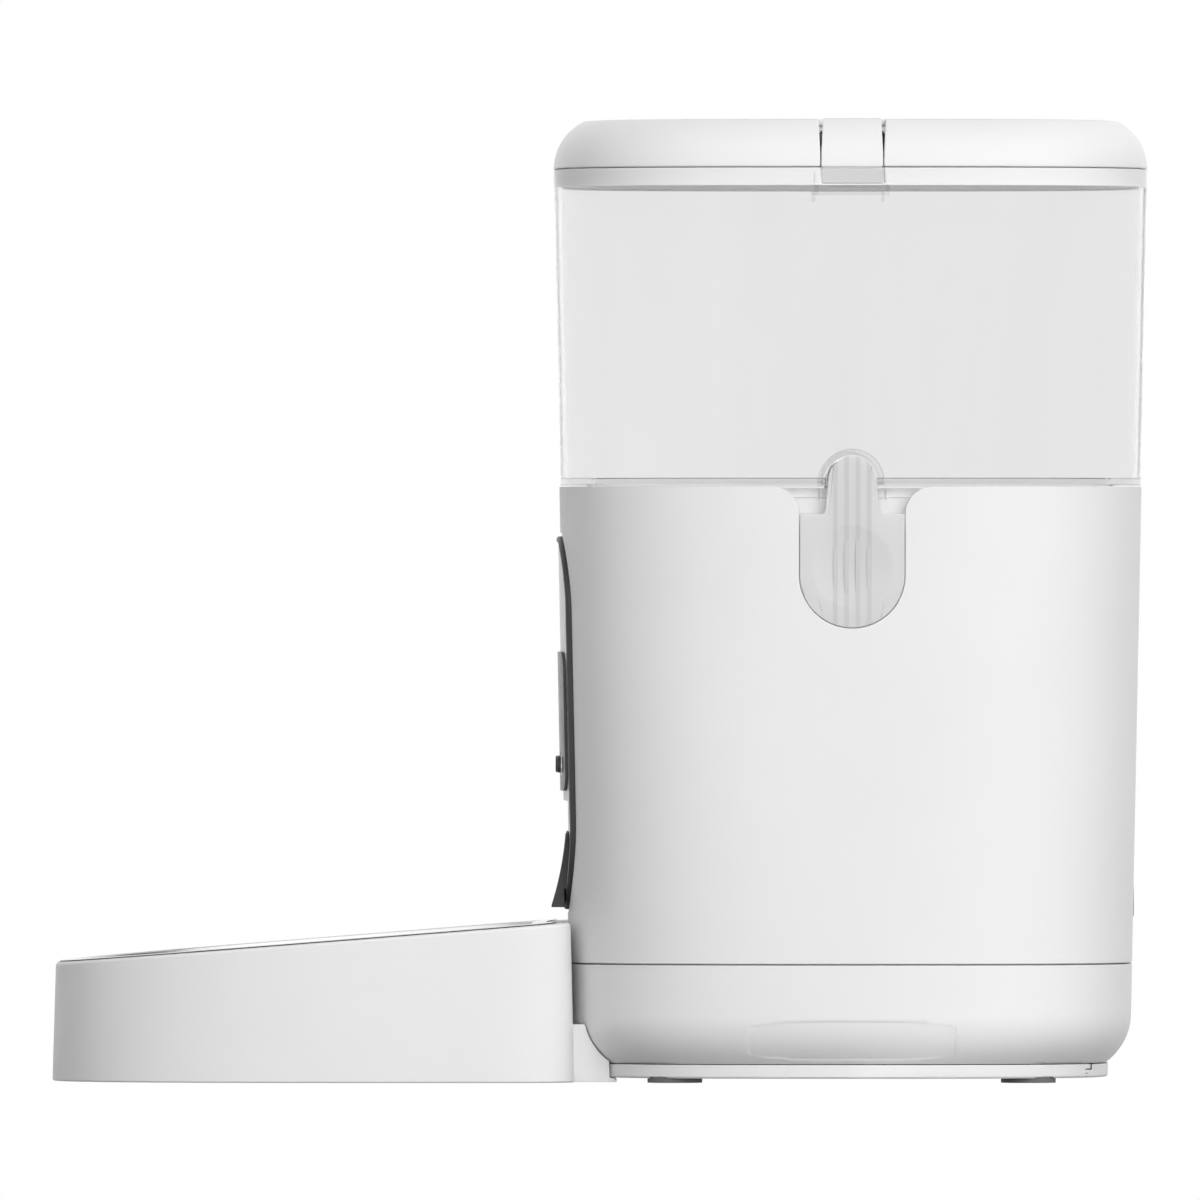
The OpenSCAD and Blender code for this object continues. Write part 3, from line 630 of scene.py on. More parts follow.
class FEEDER_OT_casing(FeederPart):
    """Adds the white casing with its side notches"""
    bl_idname = "feeder.casing"
    bl_label = "Casing"

    def build(self):
        wall = shape().wall
        shell = soft_shell("casing_shell", [
            (half_at(SEAM_LOW), SEAM_LOW), (half_at(CASE_TOP), CASE_TOP),
            (half_at(CASE_TOP) - wall, CASE_TOP), (half_at(SEAM_LOW) - wall, SEAM_LOW)], hollow=True)
        side, top = NOTCH_W + NOTCH_ROUND, CASE_TOP - NOTCH_ROUND
        notch = (
            arc(-side, top, NOTCH_ROUND, 90, 0) + arc(0, NOTCH_ARC_Z, NOTCH_W, 180, 360, 36)
            + arc(side, top, NOTCH_ROUND, 180, 90) + [(side, CASE_TOP + 5 * MM), (-side, CASE_TOP + 5 * MM)])
        cut(shell, both_sides(lambda: sideways("notch", notch, 0.08, 0.11)))
        cut(shell, forwards("panel_hole", panel_outline(-0.3 * MM)))
        jack_low, jack_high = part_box("power_socket")
        centre = (jack_low + jack_high) / 2
        cut(shell, rod("jack_hole", (0, jack_high.y, centre.z), 6.4 * MM, 0.02, "Y"))
        soften(shell)
        place(shell, "casing", MATERIALS["white_shell"], "white_shell", "body_shell")


def base_profile(inset, low):
    """The base's rounded lower edge, from a height up to where the side is straight."""
    round_z = 22.4 * MM
    radius = shape().base_round - inset
    start = math.asin((round_z - low) / radius)
    corner = half_at(round_z) - shape().base_round
    angles = [start * (1 - i / 14) for i in range(15)]
    return [(corner + radius * math.cos(a), round_z - radius * math.sin(a)) for a in angles]


SCREW_X = SCREWS_HIGH.x - 3 * MM
SCREW_Y = SCREWS_HIGH.y - AXIS_Y - 3 * MM
FOOT_R = 9 * MM
FOOT_X = FEET_HIGH.x - FOOT_R
FOOT_Y = FEET_HIGH.y - AXIS_Y - FOOT_R
PLINTH_Z = COVER_LOW.z
PLINTH_TOP = COVER_HIGH.z


def corners(x, y):
    return [(sx * x, AXIS_Y + sy * y) for sx in (-1, 1) for sy in (-1, 1)]


def battery_bay():
    """The lowest and highest corner of the space that holds the cells."""
    low = Vector((CELLS_LOW.x - 1 * MM, CONTACTS_LOW.y - 0.2 * MM, 0))
    high = Vector((CELLS_HIGH.x + 1 * MM, CONTACTS_HIGH.y + 0.2 * MM, CELLS_HIGH.z + 1 * MM))
    return low, high


class FEEDER_OT_base(FeederPart):
    """Adds the rounded base with its finger grips"""
    bl_idname = "feeder.base"
    bl_label = "Base"

    def build(self):
        wall, top = shape().wall, SEAM_LOW - 0.45 * MM
        edge, lip = half_at(top), BASE_HIGH.z
        rim = [(edge, top), (edge - wall - 0.3 * MM, top), (edge - wall - 0.3 * MM, lip),
               (edge - wall - 1.8 * MM, lip), (edge - wall - 1.8 * MM, top - 3 * MM)]
        inside = base_profile(wall, BASE_LOW.z + wall - 0.3 * MM)[::-1]
        shell = soft_shell("base_shell_smooth", base_profile(0, BASE_LOW.z) + rim + inside)
        low, high = battery_bay()
        outer = Vector((2 * MM, 2 * MM, 0))
        walls_low, walls_high = low - outer, high + outer
        add(shell, block("bay_walls", (walls_low.x, walls_low.y, BASE_LOW.z + 1 * MM),
                         (walls_high.x, walls_high.y, high.z + 2 * MM)))
        cut(shell, block("bay", low, high))
        for spot in corners(SCREW_X, SCREW_Y):
            cut(shell, rod("screw_bore", (*spot, BASE_LOW.z), 1.8 * MM, 20 * MM, points=32))
        soften(shell)
        grip_half, grip_depth = 34 * MM, 0.1 * MM
        grip = rod("grip", (0.1244, AXIS_Y, -3.7 * MM), 0.04, 2 * grip_half, "Y", 160)
        cut(grip, soft_shell("grip_floor", base_profile(grip_depth, BASE_LOW.z + grip_depth)))
        cut(shell, both_sides(lambda: grip))
        soften(shell, 0)
        place(shell, "casing", MATERIALS["white_shell"], "white_shell", "base_shell")


def plinth(name, top):
    return soft_shell(name, [
        (84.4 * MM, PLINTH_Z), (84.9 * MM, PLINTH_Z + 0.6 * MM), (84.9 * MM, top)])


class FEEDER_OT_plinth(FeederPart):
    """Adds the bottom cover, its battery door and the rubber feet"""
    bl_idname = "feeder.plinth"
    bl_label = "Plinth and feet"

    def build(self):
        tongue = 2 * MM
        door_x = DOOR_HIGH.x - tongue
        door_top = PLINTH_Z + 2.6 * MM
        door_end = AXIS_Y + 79 * MM
        front = DOOR_LOW.y
        bay_low, bay_high = battery_bay()

        cover = plinth("bottom_cover_smooth", PLINTH_TOP)
        back = AXIS_Y + 79.9 * MM
        rounding = block("rear", (-0.09, back, 1 * MM), (0.09, back + 10 * MM, 10 * MM))
        cut(rounding, rod("rear_round", (0, back, 1 * MM), 5 * MM, 0.2, "X", 96))
        cut(cover, rounding)
        slot_x, slot_y, slot_top = door_x + 0.4 * MM, front - 0.4 * MM, door_top + 0.3 * MM
        cut(cover, block("door_end", (-slot_x, door_end - 0.4 * MM, 0), (slot_x, 0.2, 0.01)))
        cut(cover, block("bay", bay_low, (bay_high.x, bay_high.y, 0.01)))
        cut(cover, block("door_way", (-slot_x, slot_y, 0), (slot_x, 0.19, slot_top)))
        cut(cover, block(
            "door_grooves", (-slot_x - tongue, slot_y, 2.7 * MM), (slot_x + tongue, 0.19, slot_top)))
        for spot in corners(FOOT_X, FOOT_Y):
            cut(cover, rod("foot_seat", (*spot, 1 * MM), FOOT_R + 0.1 * MM, 2.6 * MM, points=96))
        for spot in corners(SCREW_X, SCREW_Y):
            cut(cover, rod("screw_sink", (*spot, 1.9 * MM), 3.4 * MM, 4 * MM, points=48))
            cut(cover, rod("screw_hole", (*spot, 4 * MM), 1.8 * MM, 10 * MM, points=32))
        soften(cover, 0.25 * MM)
        place(cover, "casing", MATERIALS["white_shell"], "white_shell", "bottom_cover")

        door = plinth("battery_door_smooth", DOOR_HIGH.z)
        keep = block("door_plate", (-door_x, front, 0), (door_x, 0.2, door_top))
        add(keep, block("door_tongues", (-door_x - tongue, front, 3 * MM),
                        (door_x + tongue, front + 81.8 * MM, door_top)))
        add(keep, block("door_wall", (-door_x + 0.01 * MM, door_end, 0), (door_x - 0.01 * MM, 0.2, 0.01)))
        meet(door, keep)
        for step in range(5):
            groove_y = AXIS_Y + (70 - 3 * step) * MM
            cut(door, rod("grip_groove", (0, groove_y, PLINTH_Z), 0.7 * MM, 24 * MM, "X", 24))
        soften(door, 0.25 * MM)
        place(door, "battery_door", MATERIALS["white_shell"], "white_shell", "battery_cover")

        for index, spot in enumerate(corners(FOOT_X, FOOT_Y)):
            foot = rod("foot_%d" % (index + 1), (*spot, (FEET_LOW.z + FEET_HIGH.z) / 2), FOOT_R,
                       FEET_HIGH.z - FEET_LOW.z, points=96)
            edit(foot, "FACE")
            select_faces(foot, lambda facing: facing.z < -0.9)
            bpy.ops.mesh.inset(thickness=1.4 * MM, depth=0)
            bpy.ops.mesh.inset(thickness=0.3 * MM, depth=-0.5 * MM)
            bpy.ops.mesh.inset(thickness=3 * MM, depth=0)
            bpy.ops.mesh.inset(thickness=0.3 * MM, depth=0.4 * MM)
            done(foot)
            soften(foot, 0.2 * MM, 3)
            place(foot, "casing", MATERIALS["foot_rubber"], "foot_rubber", "feet")


# ---- Front panel ----
PANEL_HALF = TRIM_HIGH.x
PANEL_TOP_R = 26 * MM
PANEL_FOOT_R = 32 * MM
OUTLET_TOP = 76.5 * MM


def panel_outline(inset):
    """The panel's outline in X and Z, drawn in."""
    top, foot = PANEL_TOP_R - inset, PANEL_FOOT_R - inset
    x_top, z_top = PANEL_HALF - PANEL_TOP_R, TRIM_HIGH.z - PANEL_TOP_R
    x_foot, z_foot = PANEL_HALF - PANEL_FOOT_R, TRIM_LOW.z + PANEL_FOOT_R
    return (arc(x_top, z_top, top, 0, 90, 24) + arc(-x_top, z_top, top, 90, 180, 24)
            + arc(-x_foot, z_foot, foot, 180, 270, 24) + arc(x_foot, z_foot, foot, 270, 360, 24))


def round_rect(half_width, low, high, radius):
    x, z0, z1 = half_width - radius, low + radius, high - radius
    return (arc(x, z1, radius, 0, 90) + arc(-x, z1, radius, 90, 180)
            + arc(-x, z0, radius, 180, 270) + arc(x, z0, radius, 270, 360))


def arched(half_width, top, radius, half_foot, foot, steps=10):
    """An outline with rounded upper corners and a wider, straight foot."""
    x, z = half_width - radius, top - radius
    return (arc(x, z, radius, 0, 90, steps) + arc(-x, z, radius, 90, 180, steps)
            + [(-half_foot, foot), (half_foot, foot)])


def outlet_outline():
    return arched(22 * MM, OUTLET_TOP, 5 * MM, 25 * MM, TRIM_LOW.z - 1 * MM)


def button_x(side):
    low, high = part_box(side + "_button")
    return (low.x + high.x) / 2


BUTTON_R = (BUTTON_HIGH.x - BUTTON_LOW.x) / 2
BUTTON_Z = (BUTTON_LOW.z + BUTTON_HIGH.z) / 2
SIDES = ("left", "middle", "right")


def front_y(x, z, out=0.0):
    """Where the casing's front face stands at a place."""
    half = half_at(z) + out
    power = shape().squareness
    return AXIS_Y - (half ** power - abs(x) ** power) ** (1 / power)


def bore_buttons(piece):
    for side in SIDES:
        spot = (button_x(side), front_y(0, BUTTON_Z), BUTTON_Z)
        cut(piece, rod("button_bore", spot, BUTTON_R + 1.2 * MM, 0.03, "Y"))


class FEEDER_OT_front(FeederPart):
    """Adds the charcoal trim, the white panel, the display and the outlet's hood"""
    bl_idname = "feeder.front"
    bl_label = "Front panel"

    def build(self):
        low, high = TRIM_LOW.z, TRIM_HIGH.z
        trim = layer("panel_trim", -2.4 * MM, 1.3 * MM, low - 5 * MM, high + 5 * MM)
        meet(trim, forwards("trim_outside", panel_outline(0.9 * MM)))
        cut(trim, forwards("trim_inside", panel_outline(3.1 * MM), -0.05, -0.12))
        soften(trim, 0.9 * MM, 4)
        place(trim, "casing", MATERIALS["charcoal_trim"], "charcoal_trim", "front_trim")

        panel = layer("panel_plate", -2 * MM, 0.7 * MM, low - 1 * MM, high + 1 * MM)
        meet(panel, forwards("panel_outside", panel_outline(3.3 * MM)))
        step = WINDOW_LOW.z - 3.2 * MM
        cut(panel, layer("panel_step", -0.7 * MM, 3 * MM, low - 5 * MM, step))
        cut(panel, forwards("panel_window", round_rect(30 * MM, 112 * MM, 136 * MM, 2 * MM)))
        cut(panel, forwards("panel_outlet", outlet_outline()))
        bore_buttons(panel)
        soften(panel, 0.3 * MM)
        place(panel, "casing", MATERIALS["panel_white"], "panel_white", "front_panel")

        display = layer("display_plate", 0.8 * MM, 1.7 * MM, WINDOW_LOW.z - 5 * MM, WINDOW_HIGH.z + 5 * MM)
        meet(display, forwards(
            "display_outside", round_rect(WINDOW_HIGH.x, WINDOW_LOW.z, WINDOW_HIGH.z, 6 * MM)))
        bore_buttons(display)
        soften(display, 0.3 * MM, 3)
        place(display, "casing", MATERIALS["smoked_window"], "smoked_window", "display_window")

        drop = HOOD_HIGH.z - HOOD_LOW.z - 1 * MM
        curve = [(-(94 + 1.9 * t + 2.8 * t * t) * MM, HOOD_LOW.z + drop * (1 - t)) for t in
                 (i / 20 for i in range(21))]
        side_view = [(-90 * MM, HOOD_LOW.z), (-90 * MM, HOOD_HIGH.z), (-93.6 * MM, HOOD_HIGH.z)] + curve
        hood = sideways("outlet_hood_smooth", side_view, -34 * MM, 34 * MM)
        front_view = arched(28 * MM, HOOD_HIGH.z, 8 * MM, HOOD_HIGH.x, HOOD_LOW.z)
        meet(hood, forwards("hood_front", front_view))
        cut(hood, forwards("hood_outlet", outlet_outline(), -0.05, -0.12))
        cut(hood, form("hood_back", -0.6 * MM, 0.04, 0.1))
        way = layer("trim_way", -3 * MM, 1.6 * MM, 0.05, 0.07)
        meet(way, forwards("way_outside", panel_outline(-5 * MM)))
        cut(way, forwards("way_inside", panel_outline(3.3 * MM), -0.05, -0.12))
        cut(hood, way)
        soften(hood, 0.45 * MM, 3)
        place(hood, "casing", MATERIALS["charcoal_trim"], "charcoal_trim", "outlet_hood")


def turned(name, centre, profile, points=72):
    """A piece turned about an axis along Y; its profile is a loop of (radius, distance to the front)."""
    clear_selection()
    bpy.ops.mesh.primitive_circle_add(
        vertices=len(profile), radius=1, fill_type="NOTHING", location=(0, 0, 0))
    piece = name_piece(name)
    for point, (radius, out) in zip(piece.data.vertices, profile):
        point.co = (centre[0] + radius, centre[1] - out, centre[2])
    edit(piece, "EDGE")
    bpy.ops.mesh.select_all(action="SELECT")
    bpy.ops.mesh.spin(
        steps=points, angle=2 * math.pi, center=centre, axis=(0, 1, 0), dupli=False, use_auto_merge=True)
    return done(piece)


class FEEDER_OT_buttons(FeederPart):
    """Adds the three buttons and their chrome rings"""
    bl_idname = "feeder.buttons"
    bl_label = "Buttons"

    def build(self):
        inner, outer = BUTTON_R + 0.25 * MM, BUTTON_R + 1.15 * MM
        dome = [(inner + (outer - inner) * t, (0.8 + 0.9 * math.sin(math.pi * (0.22 + 0.7 * t))) * MM)
                for t in (i / 10 for i in range(11))]
        profile = [(outer, -1.4 * MM), (inner, -1.4 * MM)] + dome
        for side in SIDES:
            x = button_x(side)
            face = front_y(x, BUTTON_Z)
            ring = turned("button_ring_" + side, (x, face, BUTTON_Z), profile)
            soften(ring, 0)
            place(ring, "casing", MATERIALS["ring_chrome"], "ring_chrome", "button_rings")
            low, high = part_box(side + "_button")
            low.y += 0.3 * MM
            cap = rod(side + "_cap", (x, (low.y + high.y) / 2, BUTTON_Z), BUTTON_R, high.y - low.y, "Y", 72)
            edit(cap, "FACE")
            select_faces(cap, lambda facing: facing.y < -0.9)
            bpy.ops.mesh.inset(thickness=0.9 * MM, depth=0)
            bpy.ops.mesh.inset(thickness=0.7 * MM, depth=-0.12 * MM)
            bpy.ops.mesh.inset(thickness=0.5 * MM, depth=-0.05 * MM)
            done(cap)
            soften(cap, 0.45 * MM, 4, 60)
            place(cap, side + "_key", MATERIALS["black_parts"], "black_parts", side + "_button")


# ---- Tank ----
TANK_FOOT = TANK_HIGH.z - (RIM_Z - CASE_TOP) + 0.45 * MM
SKIRT_INSET = 9.1 * MM
CHAMBER_R = 52 * MM
FUNNEL_Z = 144 * MM
NICHE_R = 8.4 * MM
BOSS_R = 10.4 * MM
SKIRT_Z = 172 * MM
LATCH_R = 7.9 * MM
ARCH_Z = LATCH_HIGH.z - LATCH_R


def arch_outline(radius, low):
    return [(radius, low)] + arc(0, ARCH_Z, radius, 0, 180, 40) + [(-radius, low)]


class FEEDER_OT_tank(FeederPart):
    """Adds the clear food tank, with the arched bosses of its latches"""
    bl_idname = "feeder.tank"
    bl_label = "Food tank"

    def build(self):
        wall, foot = shape().tank_wall, TANK_FOOT
        tank = soft_shell("clear_tank", [
            (CHAMBER_R + 2 * MM, TANK_LOW.z, 2), (CHAMBER_R + 2 * MM, FUNNEL_Z, 2),
            (half_at(SKIRT_Z) - SKIRT_INSET, SKIRT_Z), (half_at(foot) - SKIRT_INSET, foot),
            (half_at(foot), foot), (RIM_HALF, RIM_Z), (RIM_HALF - wall, RIM_Z),
            (half_at(foot) - wall, foot + wall), (half_at(foot) - SKIRT_INSET - 2 * MM, foot + wall),
            (half_at(SKIRT_Z) - SKIRT_INSET - 2 * MM, SKIRT_Z + 1 * MM), (CHAMBER_R, FUNNEL_Z + 1 * MM, 2),
            (CHAMBER_R, TANK_LOW.z, 2)], hollow=True)
        deep = half_at(ARCH_Z) - 7 * MM
        cut(tank, both_sides(lambda: sideways("niche", arch_outline(NICHE_R, 0.19), deep, 0.11)))
        recess = RIM_HALF - 1.2 * MM
        cut(tank, both_sides(lambda: block(
            "clip_recess", (recess, AXIS_Y - 10.6 * MM, CLIP_LOW.z - 0.2 * MM),
            (0.11, AXIS_Y + 10.6 * MM, 0.31))))
        soften(tank, 0.3 * MM)
        seat = layer("seat_ring", -wall + 0.1 * MM, -0.1 * MM, foot + 0.1 * MM, foot + wall - 0.2 * MM)
        boss = layer("arch_boss", -9 * MM, -0.1 * MM, foot + 0.1 * MM, 215 * MM)
        meet(boss, both_sides(lambda: sideways("boss_outline", arch_outline(BOSS_R, 0.19), 0.08, 0.11)))
        for thick in (seat, boss):
            cut(thick, both_sides(
                lambda: sideways("niche", arch_outline(NICHE_R, 0.19), deep - 3 * MM, 0.11)))
            soften(thick, 0.2 * MM)
        bar = layer("catch_bar", -0.5 * MM, 0.8 * MM, 293.1 * MM, 294.5 * MM)
        tick = layer("catch_tick", -0.45 * MM, 0.5 * MM, 290.8 * MM, 298.5 * MM)
        meet(bar, both_sides(lambda: block(
            "bar_span", (0.08, AXIS_Y - 12.4 * MM, 0.29), (0.11, AXIS_Y + 12.4 * MM, 0.3))))
        meet(tick, both_sides(lambda: together(*(block(
            "tick_span", (0.08, AXIS_Y + y - 0.6 * MM, 0.28), (0.11, AXIS_Y + y + 0.6 * MM, 0.31))
            for y in (-11.6 * MM, 11.6 * MM)))))
        soften(bar, 0)
        soften(tick, 0)
        together(tank, seat, boss, bar, tick)
        place(tank, "tank", MATERIALS["clear_tank"], "clear_tank", "food_tank")


class FEEDER_OT_latches(FeederPart):
    """Adds the two press latches on the tank's sides"""
    bl_idname = "feeder.latches"
    bl_label = "Press latches"

    def build(self):
        paddle_top = 186.6 * MM
        half = (LATCH_HIGH.y - LATCH_LOW.y) / 2
        shape_of = (
            arc(0, ARCH_Z, LATCH_R, 0, 180, 40) + [(-8.9 * MM, paddle_top + 1 * MM), (-9.6 * MM, paddle_top)]
            + [(-half, paddle_top)] + arc(0, NOTCH_ARC_Z, half, 180, 360, 60)
            + [(half, paddle_top), (9.6 * MM, paddle_top), (8.9 * MM, paddle_top + 1 * MM)])
        latch = layer("left_latch_smooth", -3 * MM, -0.05 * MM, 0.14, 0.21)
        meet(latch, sideways("latch_outline", shape_of, 0.08, 0.11))
        dish_z, dish_r, depth = 168 * MM, 14 * MM, 1.5 * MM
        ball = (dish_r ** 2 + depth ** 2) / 2 / depth
        clear_selection()
        bpy.ops.mesh.primitive_uv_sphere_add(
            segments=256, ring_count=128, radius=ball,
            location=(half_at(dish_z) - depth + ball, AXIS_Y, dish_z))
        dish = name_piece("dish_ball")
        bpy.ops.object.transform_apply(location=True)
        cut(latch, dish)
        soften(latch, 0.3 * MM, 3)
        for y in (-5.55, -1.85, 1.85, 5.55):
            rib_top = ARCH_Z - 0.5 * MM + math.sqrt(LATCH_R ** 2 - (abs(y * MM) + 0.75 * MM) ** 2)
            rib = layer("latch_rib", -4.2 * MM, -0.9 * MM, 151 * MM, rib_top)
            low, high = AXIS_Y + (y - 0.75) * MM, AXIS_Y + (y + 0.75) * MM
            meet(rib, block("rib_span", (0.08, low, 0.14), (0.11, high, 0.22)))
            soften(rib, 0.15 * MM)
            together(latch, rib)
        other = mirrored(latch, "right_latch_smooth")
        soften(other, 0)
        place(latch, "left_latch", MATERIALS["clear_latch"], "clear_latch", "left_press_latch")
        place(other, "right_latch", MATERIALS["clear_latch"], "clear_latch", "right_press_latch")


class FEEDER_OT_well(FeederPart):
    """Adds the well that holds the tank"""
    bl_idname = "feeder.well"
    bl_label = "Tank well"

    def build(self):
        shelf, deck, inset = 140 * MM, 110 * MM, 6.5 * MM
        wall = shape().wall + 0.1 * MM
        low, high = WELL_HIGH.z - 3 * MM, WELL_HIGH.z
        well = soft_shell("tank_well_smooth", [
            (half_at(shelf) - inset, shelf - 2 * MM), (half_at(low) - inset, low), (half_at(low) - wall, low),
            (half_at(high) - wall, high), (half_at(high) - inset - 2 * MM, high),
            (half_at(shelf) - inset - 2 * MM, shelf)])
        way = layer("latch_way", -inset - 0.05 * MM, 1 * MM, low - 0.05 * MM, high + 2 * MM)
        meet(way, block("way_span", (-0.11, AXIS_Y - 28 * MM, 0.18), (0.11, AXIS_Y + 28 * MM, 0.2)))
        cut(well, way)
        add(well, rod("chamber", (0, AXIS_Y, deck + 14.5 * MM), CHAMBER_R + 7 * MM, 33 * MM, points=160))
        for x, y in ((-28, -8), (28, -8), (-14, 26), (14, 26)):
            add(well, rod("post", (x * MM, AXIS_Y + y * MM, 99.5 * MM), 3 * MM, 18 * MM, points=32))
        cut(well, rod("chamber_bore", (0, AXIS_Y, deck + 30 * MM), CHAMBER_R + 5 * MM, 60 * MM, points=160))
        cut(well, rod("drop_hole", (0, AXIS_Y - 35.5 * MM, deck), 16 * MM, 10 * MM))
        cut(well, rod("bush_hole", (0, AXIS_Y, deck), 7 * MM, 10 * MM))
        for y in (-10.5 * MM, 10.5 * MM):
            cut(well, both_sides(lambda: block(
                "guide_slot", (half_at(low) - inset - 1 * MM, AXIS_Y + y - 0.4 * MM, 191 * MM),
                (0.11, AXIS_Y + y + 0.4 * MM, 200 * MM))))
        soften(well)
        place(well, "casing", MATERIALS["inner_plastic"], "inner_plastic", "tank_well")


# ---- Lid ----
PIN_R = 1.2 * MM
PIN_X = PIN_HIGH.x - PIN_R
PIN_Z = (PIN_LOW.z + PIN_HIGH.z) / 2
CLIP_HALF = (CLIP_HIGH.y - CLIP_LOW.y) / 2


def clip_outline(half, spread):
    """A clip's sides or its slot's, which lean apart near the top."""
    low, bend_z, top = RIM_Z - 10 * MM, RIM_Z + 5 * MM, LID_HIGH.z + 1 * MM
    right = [(half, low), (half, bend_z), (half + spread, top)]
    return [(-half, low)] + right + [(-half - spread, top), (-half, bend_z)]


def lid_profile(inset, top, steps=24):
    """The lid's shoulder from its foot up to its flat top."""
    radius = shape().lid_round - inset
    lift = LID_LOW.z - RIM_Z
    corner = RIM_HALF - 0.2 * MM - shape().lid_round
    last = math.asin((top - RIM_Z) / radius)
    return [(corner + radius * math.cos(last * i / steps),
             RIM_Z + radius * math.sin(last * i / steps) + lift * (1 - i / steps)) for i in range(steps + 1)]


class FEEDER_OT_lid(FeederPart):
    """Adds the lid, the liner under it and the desiccant pouch"""
    bl_idname = "feeder.lid"
    bl_label = "Lid"

    def build(self):
        top, wall = LID_HIGH.z, 2.4 * MM
        lid = soft_shell("lid_smooth", lid_profile(wall, top - wall)[::-1] + lid_profile(0, top))
        lugs = soft_shell("lid_lugs", lid_profile(1 * MM, top - 1 * MM))
        spans = block("lug_span", (PIN_X - 5 * MM, AXIS_Y - 13.9 * MM, RIM_Z + 8 * MM),
                      (PIN_X + 5 * MM, AXIS_Y - 10.9 * MM, RIM_Z + 17 * MM))
        add(spans, block("lug_span_2", (PIN_X - 5 * MM, AXIS_Y + 10.9 * MM, RIM_Z + 8 * MM),
                         (PIN_X + 5 * MM, AXIS_Y + 13.9 * MM, RIM_Z + 17 * MM)))
        meet(lugs, both_sides(lambda: spans))
        add(lid, lugs)
        cut(lid, both_sides(lambda: sideways(
            "clip_slot", clip_outline(CLIP_HALF + 0.35 * MM, 0.55 * MM), PIN_X - 4.3 * MM, 0.12)))
        soften(lid, 0.5 * MM, 3)
        place(lid, "lid", MATERIALS["lid_gloss"], "lid_gloss", "lid_shell")

        liner_low, liner_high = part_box("lid_liner")
        half = RIM_HALF - shape().tank_wall - 1.2 * MM
        groove = (liner_low.z + 1.4 * MM, liner_low.z + 3.4 * MM)
        liner = soft_shell("lid_liner_smooth", [
            (half - 2 * MM, liner_high.z - 2 * MM), (half - 2 * MM, liner_low.z), (half, liner_low.z),
            (half, groove[0]), (half - 1.1 * MM, groove[0]), (half - 1.1 * MM, groove[1]), (half, groove[1]),
            (half, liner_high.z - 1 * MM), (half - 1.8 * MM, liner_high.z)])
        for turn in range(12):
            angle = math.radians(30 * turn)
            spot = (16 * MM * math.cos(angle), AXIS_Y + 16 * MM * math.sin(angle), 0.3)
            cut(liner, rod("vent", spot, 2 * MM, 20 * MM, points=32))
        soften(liner, 0.2 * MM)
        place(liner, "lid", MATERIALS["panel_white"], "panel_white", "lid_liner")

        pouch_low, pouch_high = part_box("desiccant_pack")
        centre = (pouch_low + pouch_high) / 2
        clear_selection()
        bpy.ops.mesh.primitive_uv_sphere_add(segments=96, ring_count=48, radius=1, location=(0, 0, 0))
        pouch = name_piece("desiccant_pouch")
        radius, thick = (pouch_high.x - pouch_low.x) / 2, (pouch_high.z - pouch_low.z) / 2
        for point in pouch.data.vertices:
            flat = math.hypot(point.co.x, point.co.y)
            angle = math.atan2(point.co.y, point.co.x)
            pucker = 1 + 0.12 * flat ** 6 * math.sin(19 * angle)
            rise = math.copysign(abs(point.co.z) ** 0.75, point.co.z) * pucker
            point.co = (centre.x + radius * point.co.x * 0.995, centre.y + radius * point.co.y * 0.995,
                        centre.z + 0.93 * thick * max(-1, min(1, rise)))
        take(pouch)
        bpy.ops.object.shade_smooth()
        place(pouch, "lid", MATERIALS["desiccant_cloth"], "desiccant_cloth", "desiccant_pack")


class FEEDER_OT_clips(FeederPart):
    """Adds the two clips that hold the lid"""
    bl_idname = "feeder.clips"
    bl_label = "Lid clips"

    def build(self):
        top = LID_HIGH.z
        clip = soft_shell("left_clip_smooth", lid_profile(-0.2 * MM, top + 0.2 * MM))
        cut(clip, soft_shell("clip_hollow", [(RIM_HALF - 2.4 * MM, RIM_Z - 5 * MM)]
                             + lid_profile(2.2 * MM, top - 1.6 * MM)))
        meet(clip, block("clip_reach", (PIN_X, AXIS_Y - 20 * MM, RIM_Z), (0.12, AXIS_Y + 20 * MM, 0.34)))
        add(clip, rod("clip_barrel", (PIN_X, AXIS_Y, PIN_Z), 2.7 * MM, 0.04, "Y"))
        meet(clip, sideways("clip_sides", clip_outline(CLIP_HALF, -0.6 * MM), 0.07, 0.12))
        add(clip, block("clip_leg", (RIM_HALF - 1.1 * MM, AXIS_Y - CLIP_HALF + 0.2 * MM, CLIP_LOW.z),
                        (RIM_HALF - 0.5 * MM, AXIS_Y + CLIP_HALF - 0.2 * MM, RIM_Z + 2 * MM)))
        cut(clip, block("leg_groove", (RIM_HALF - 0.85 * MM, AXIS_Y - 20 * MM, RIM_Z - 0.35 * MM),
                        (0.12, AXIS_Y + 20 * MM, RIM_Z + 0.05 * MM)))
        cut(clip, rod("pin_bore", (PIN_X, AXIS_Y, PIN_Z), PIN_R + 0.05 * MM, 0.03, "Y"))
        soften(clip, 0.25 * MM, 3)
        other = mirrored(clip, "right_clip_smooth")
        soften(other, 0)
        place(clip, "left_clip", MATERIALS["lid_gloss"], "lid_gloss", "left_lid_clip")
        place(other, "right_clip", MATERIALS["lid_gloss"], "lid_gloss", "right_lid_clip")


# ---- Bowl ----
BOWL_FRONT = AXIS_Y - HOLDER_LOW.y
BOWL_BACK = 90 * MM
BOWL_CORNER = 85.5 * MM
BOWL_HOLLOW = 9.1 * MM
BOWL_MID = 150 * MM
BOWL_HALF = HOLDER_HIGH.x
RIM_FRONT_Z = 39 * MM
RIM_BACK_Z = HOLDER_HIGH.z


def bend(value, power):
    return math.copysign(abs(value) ** power, value)


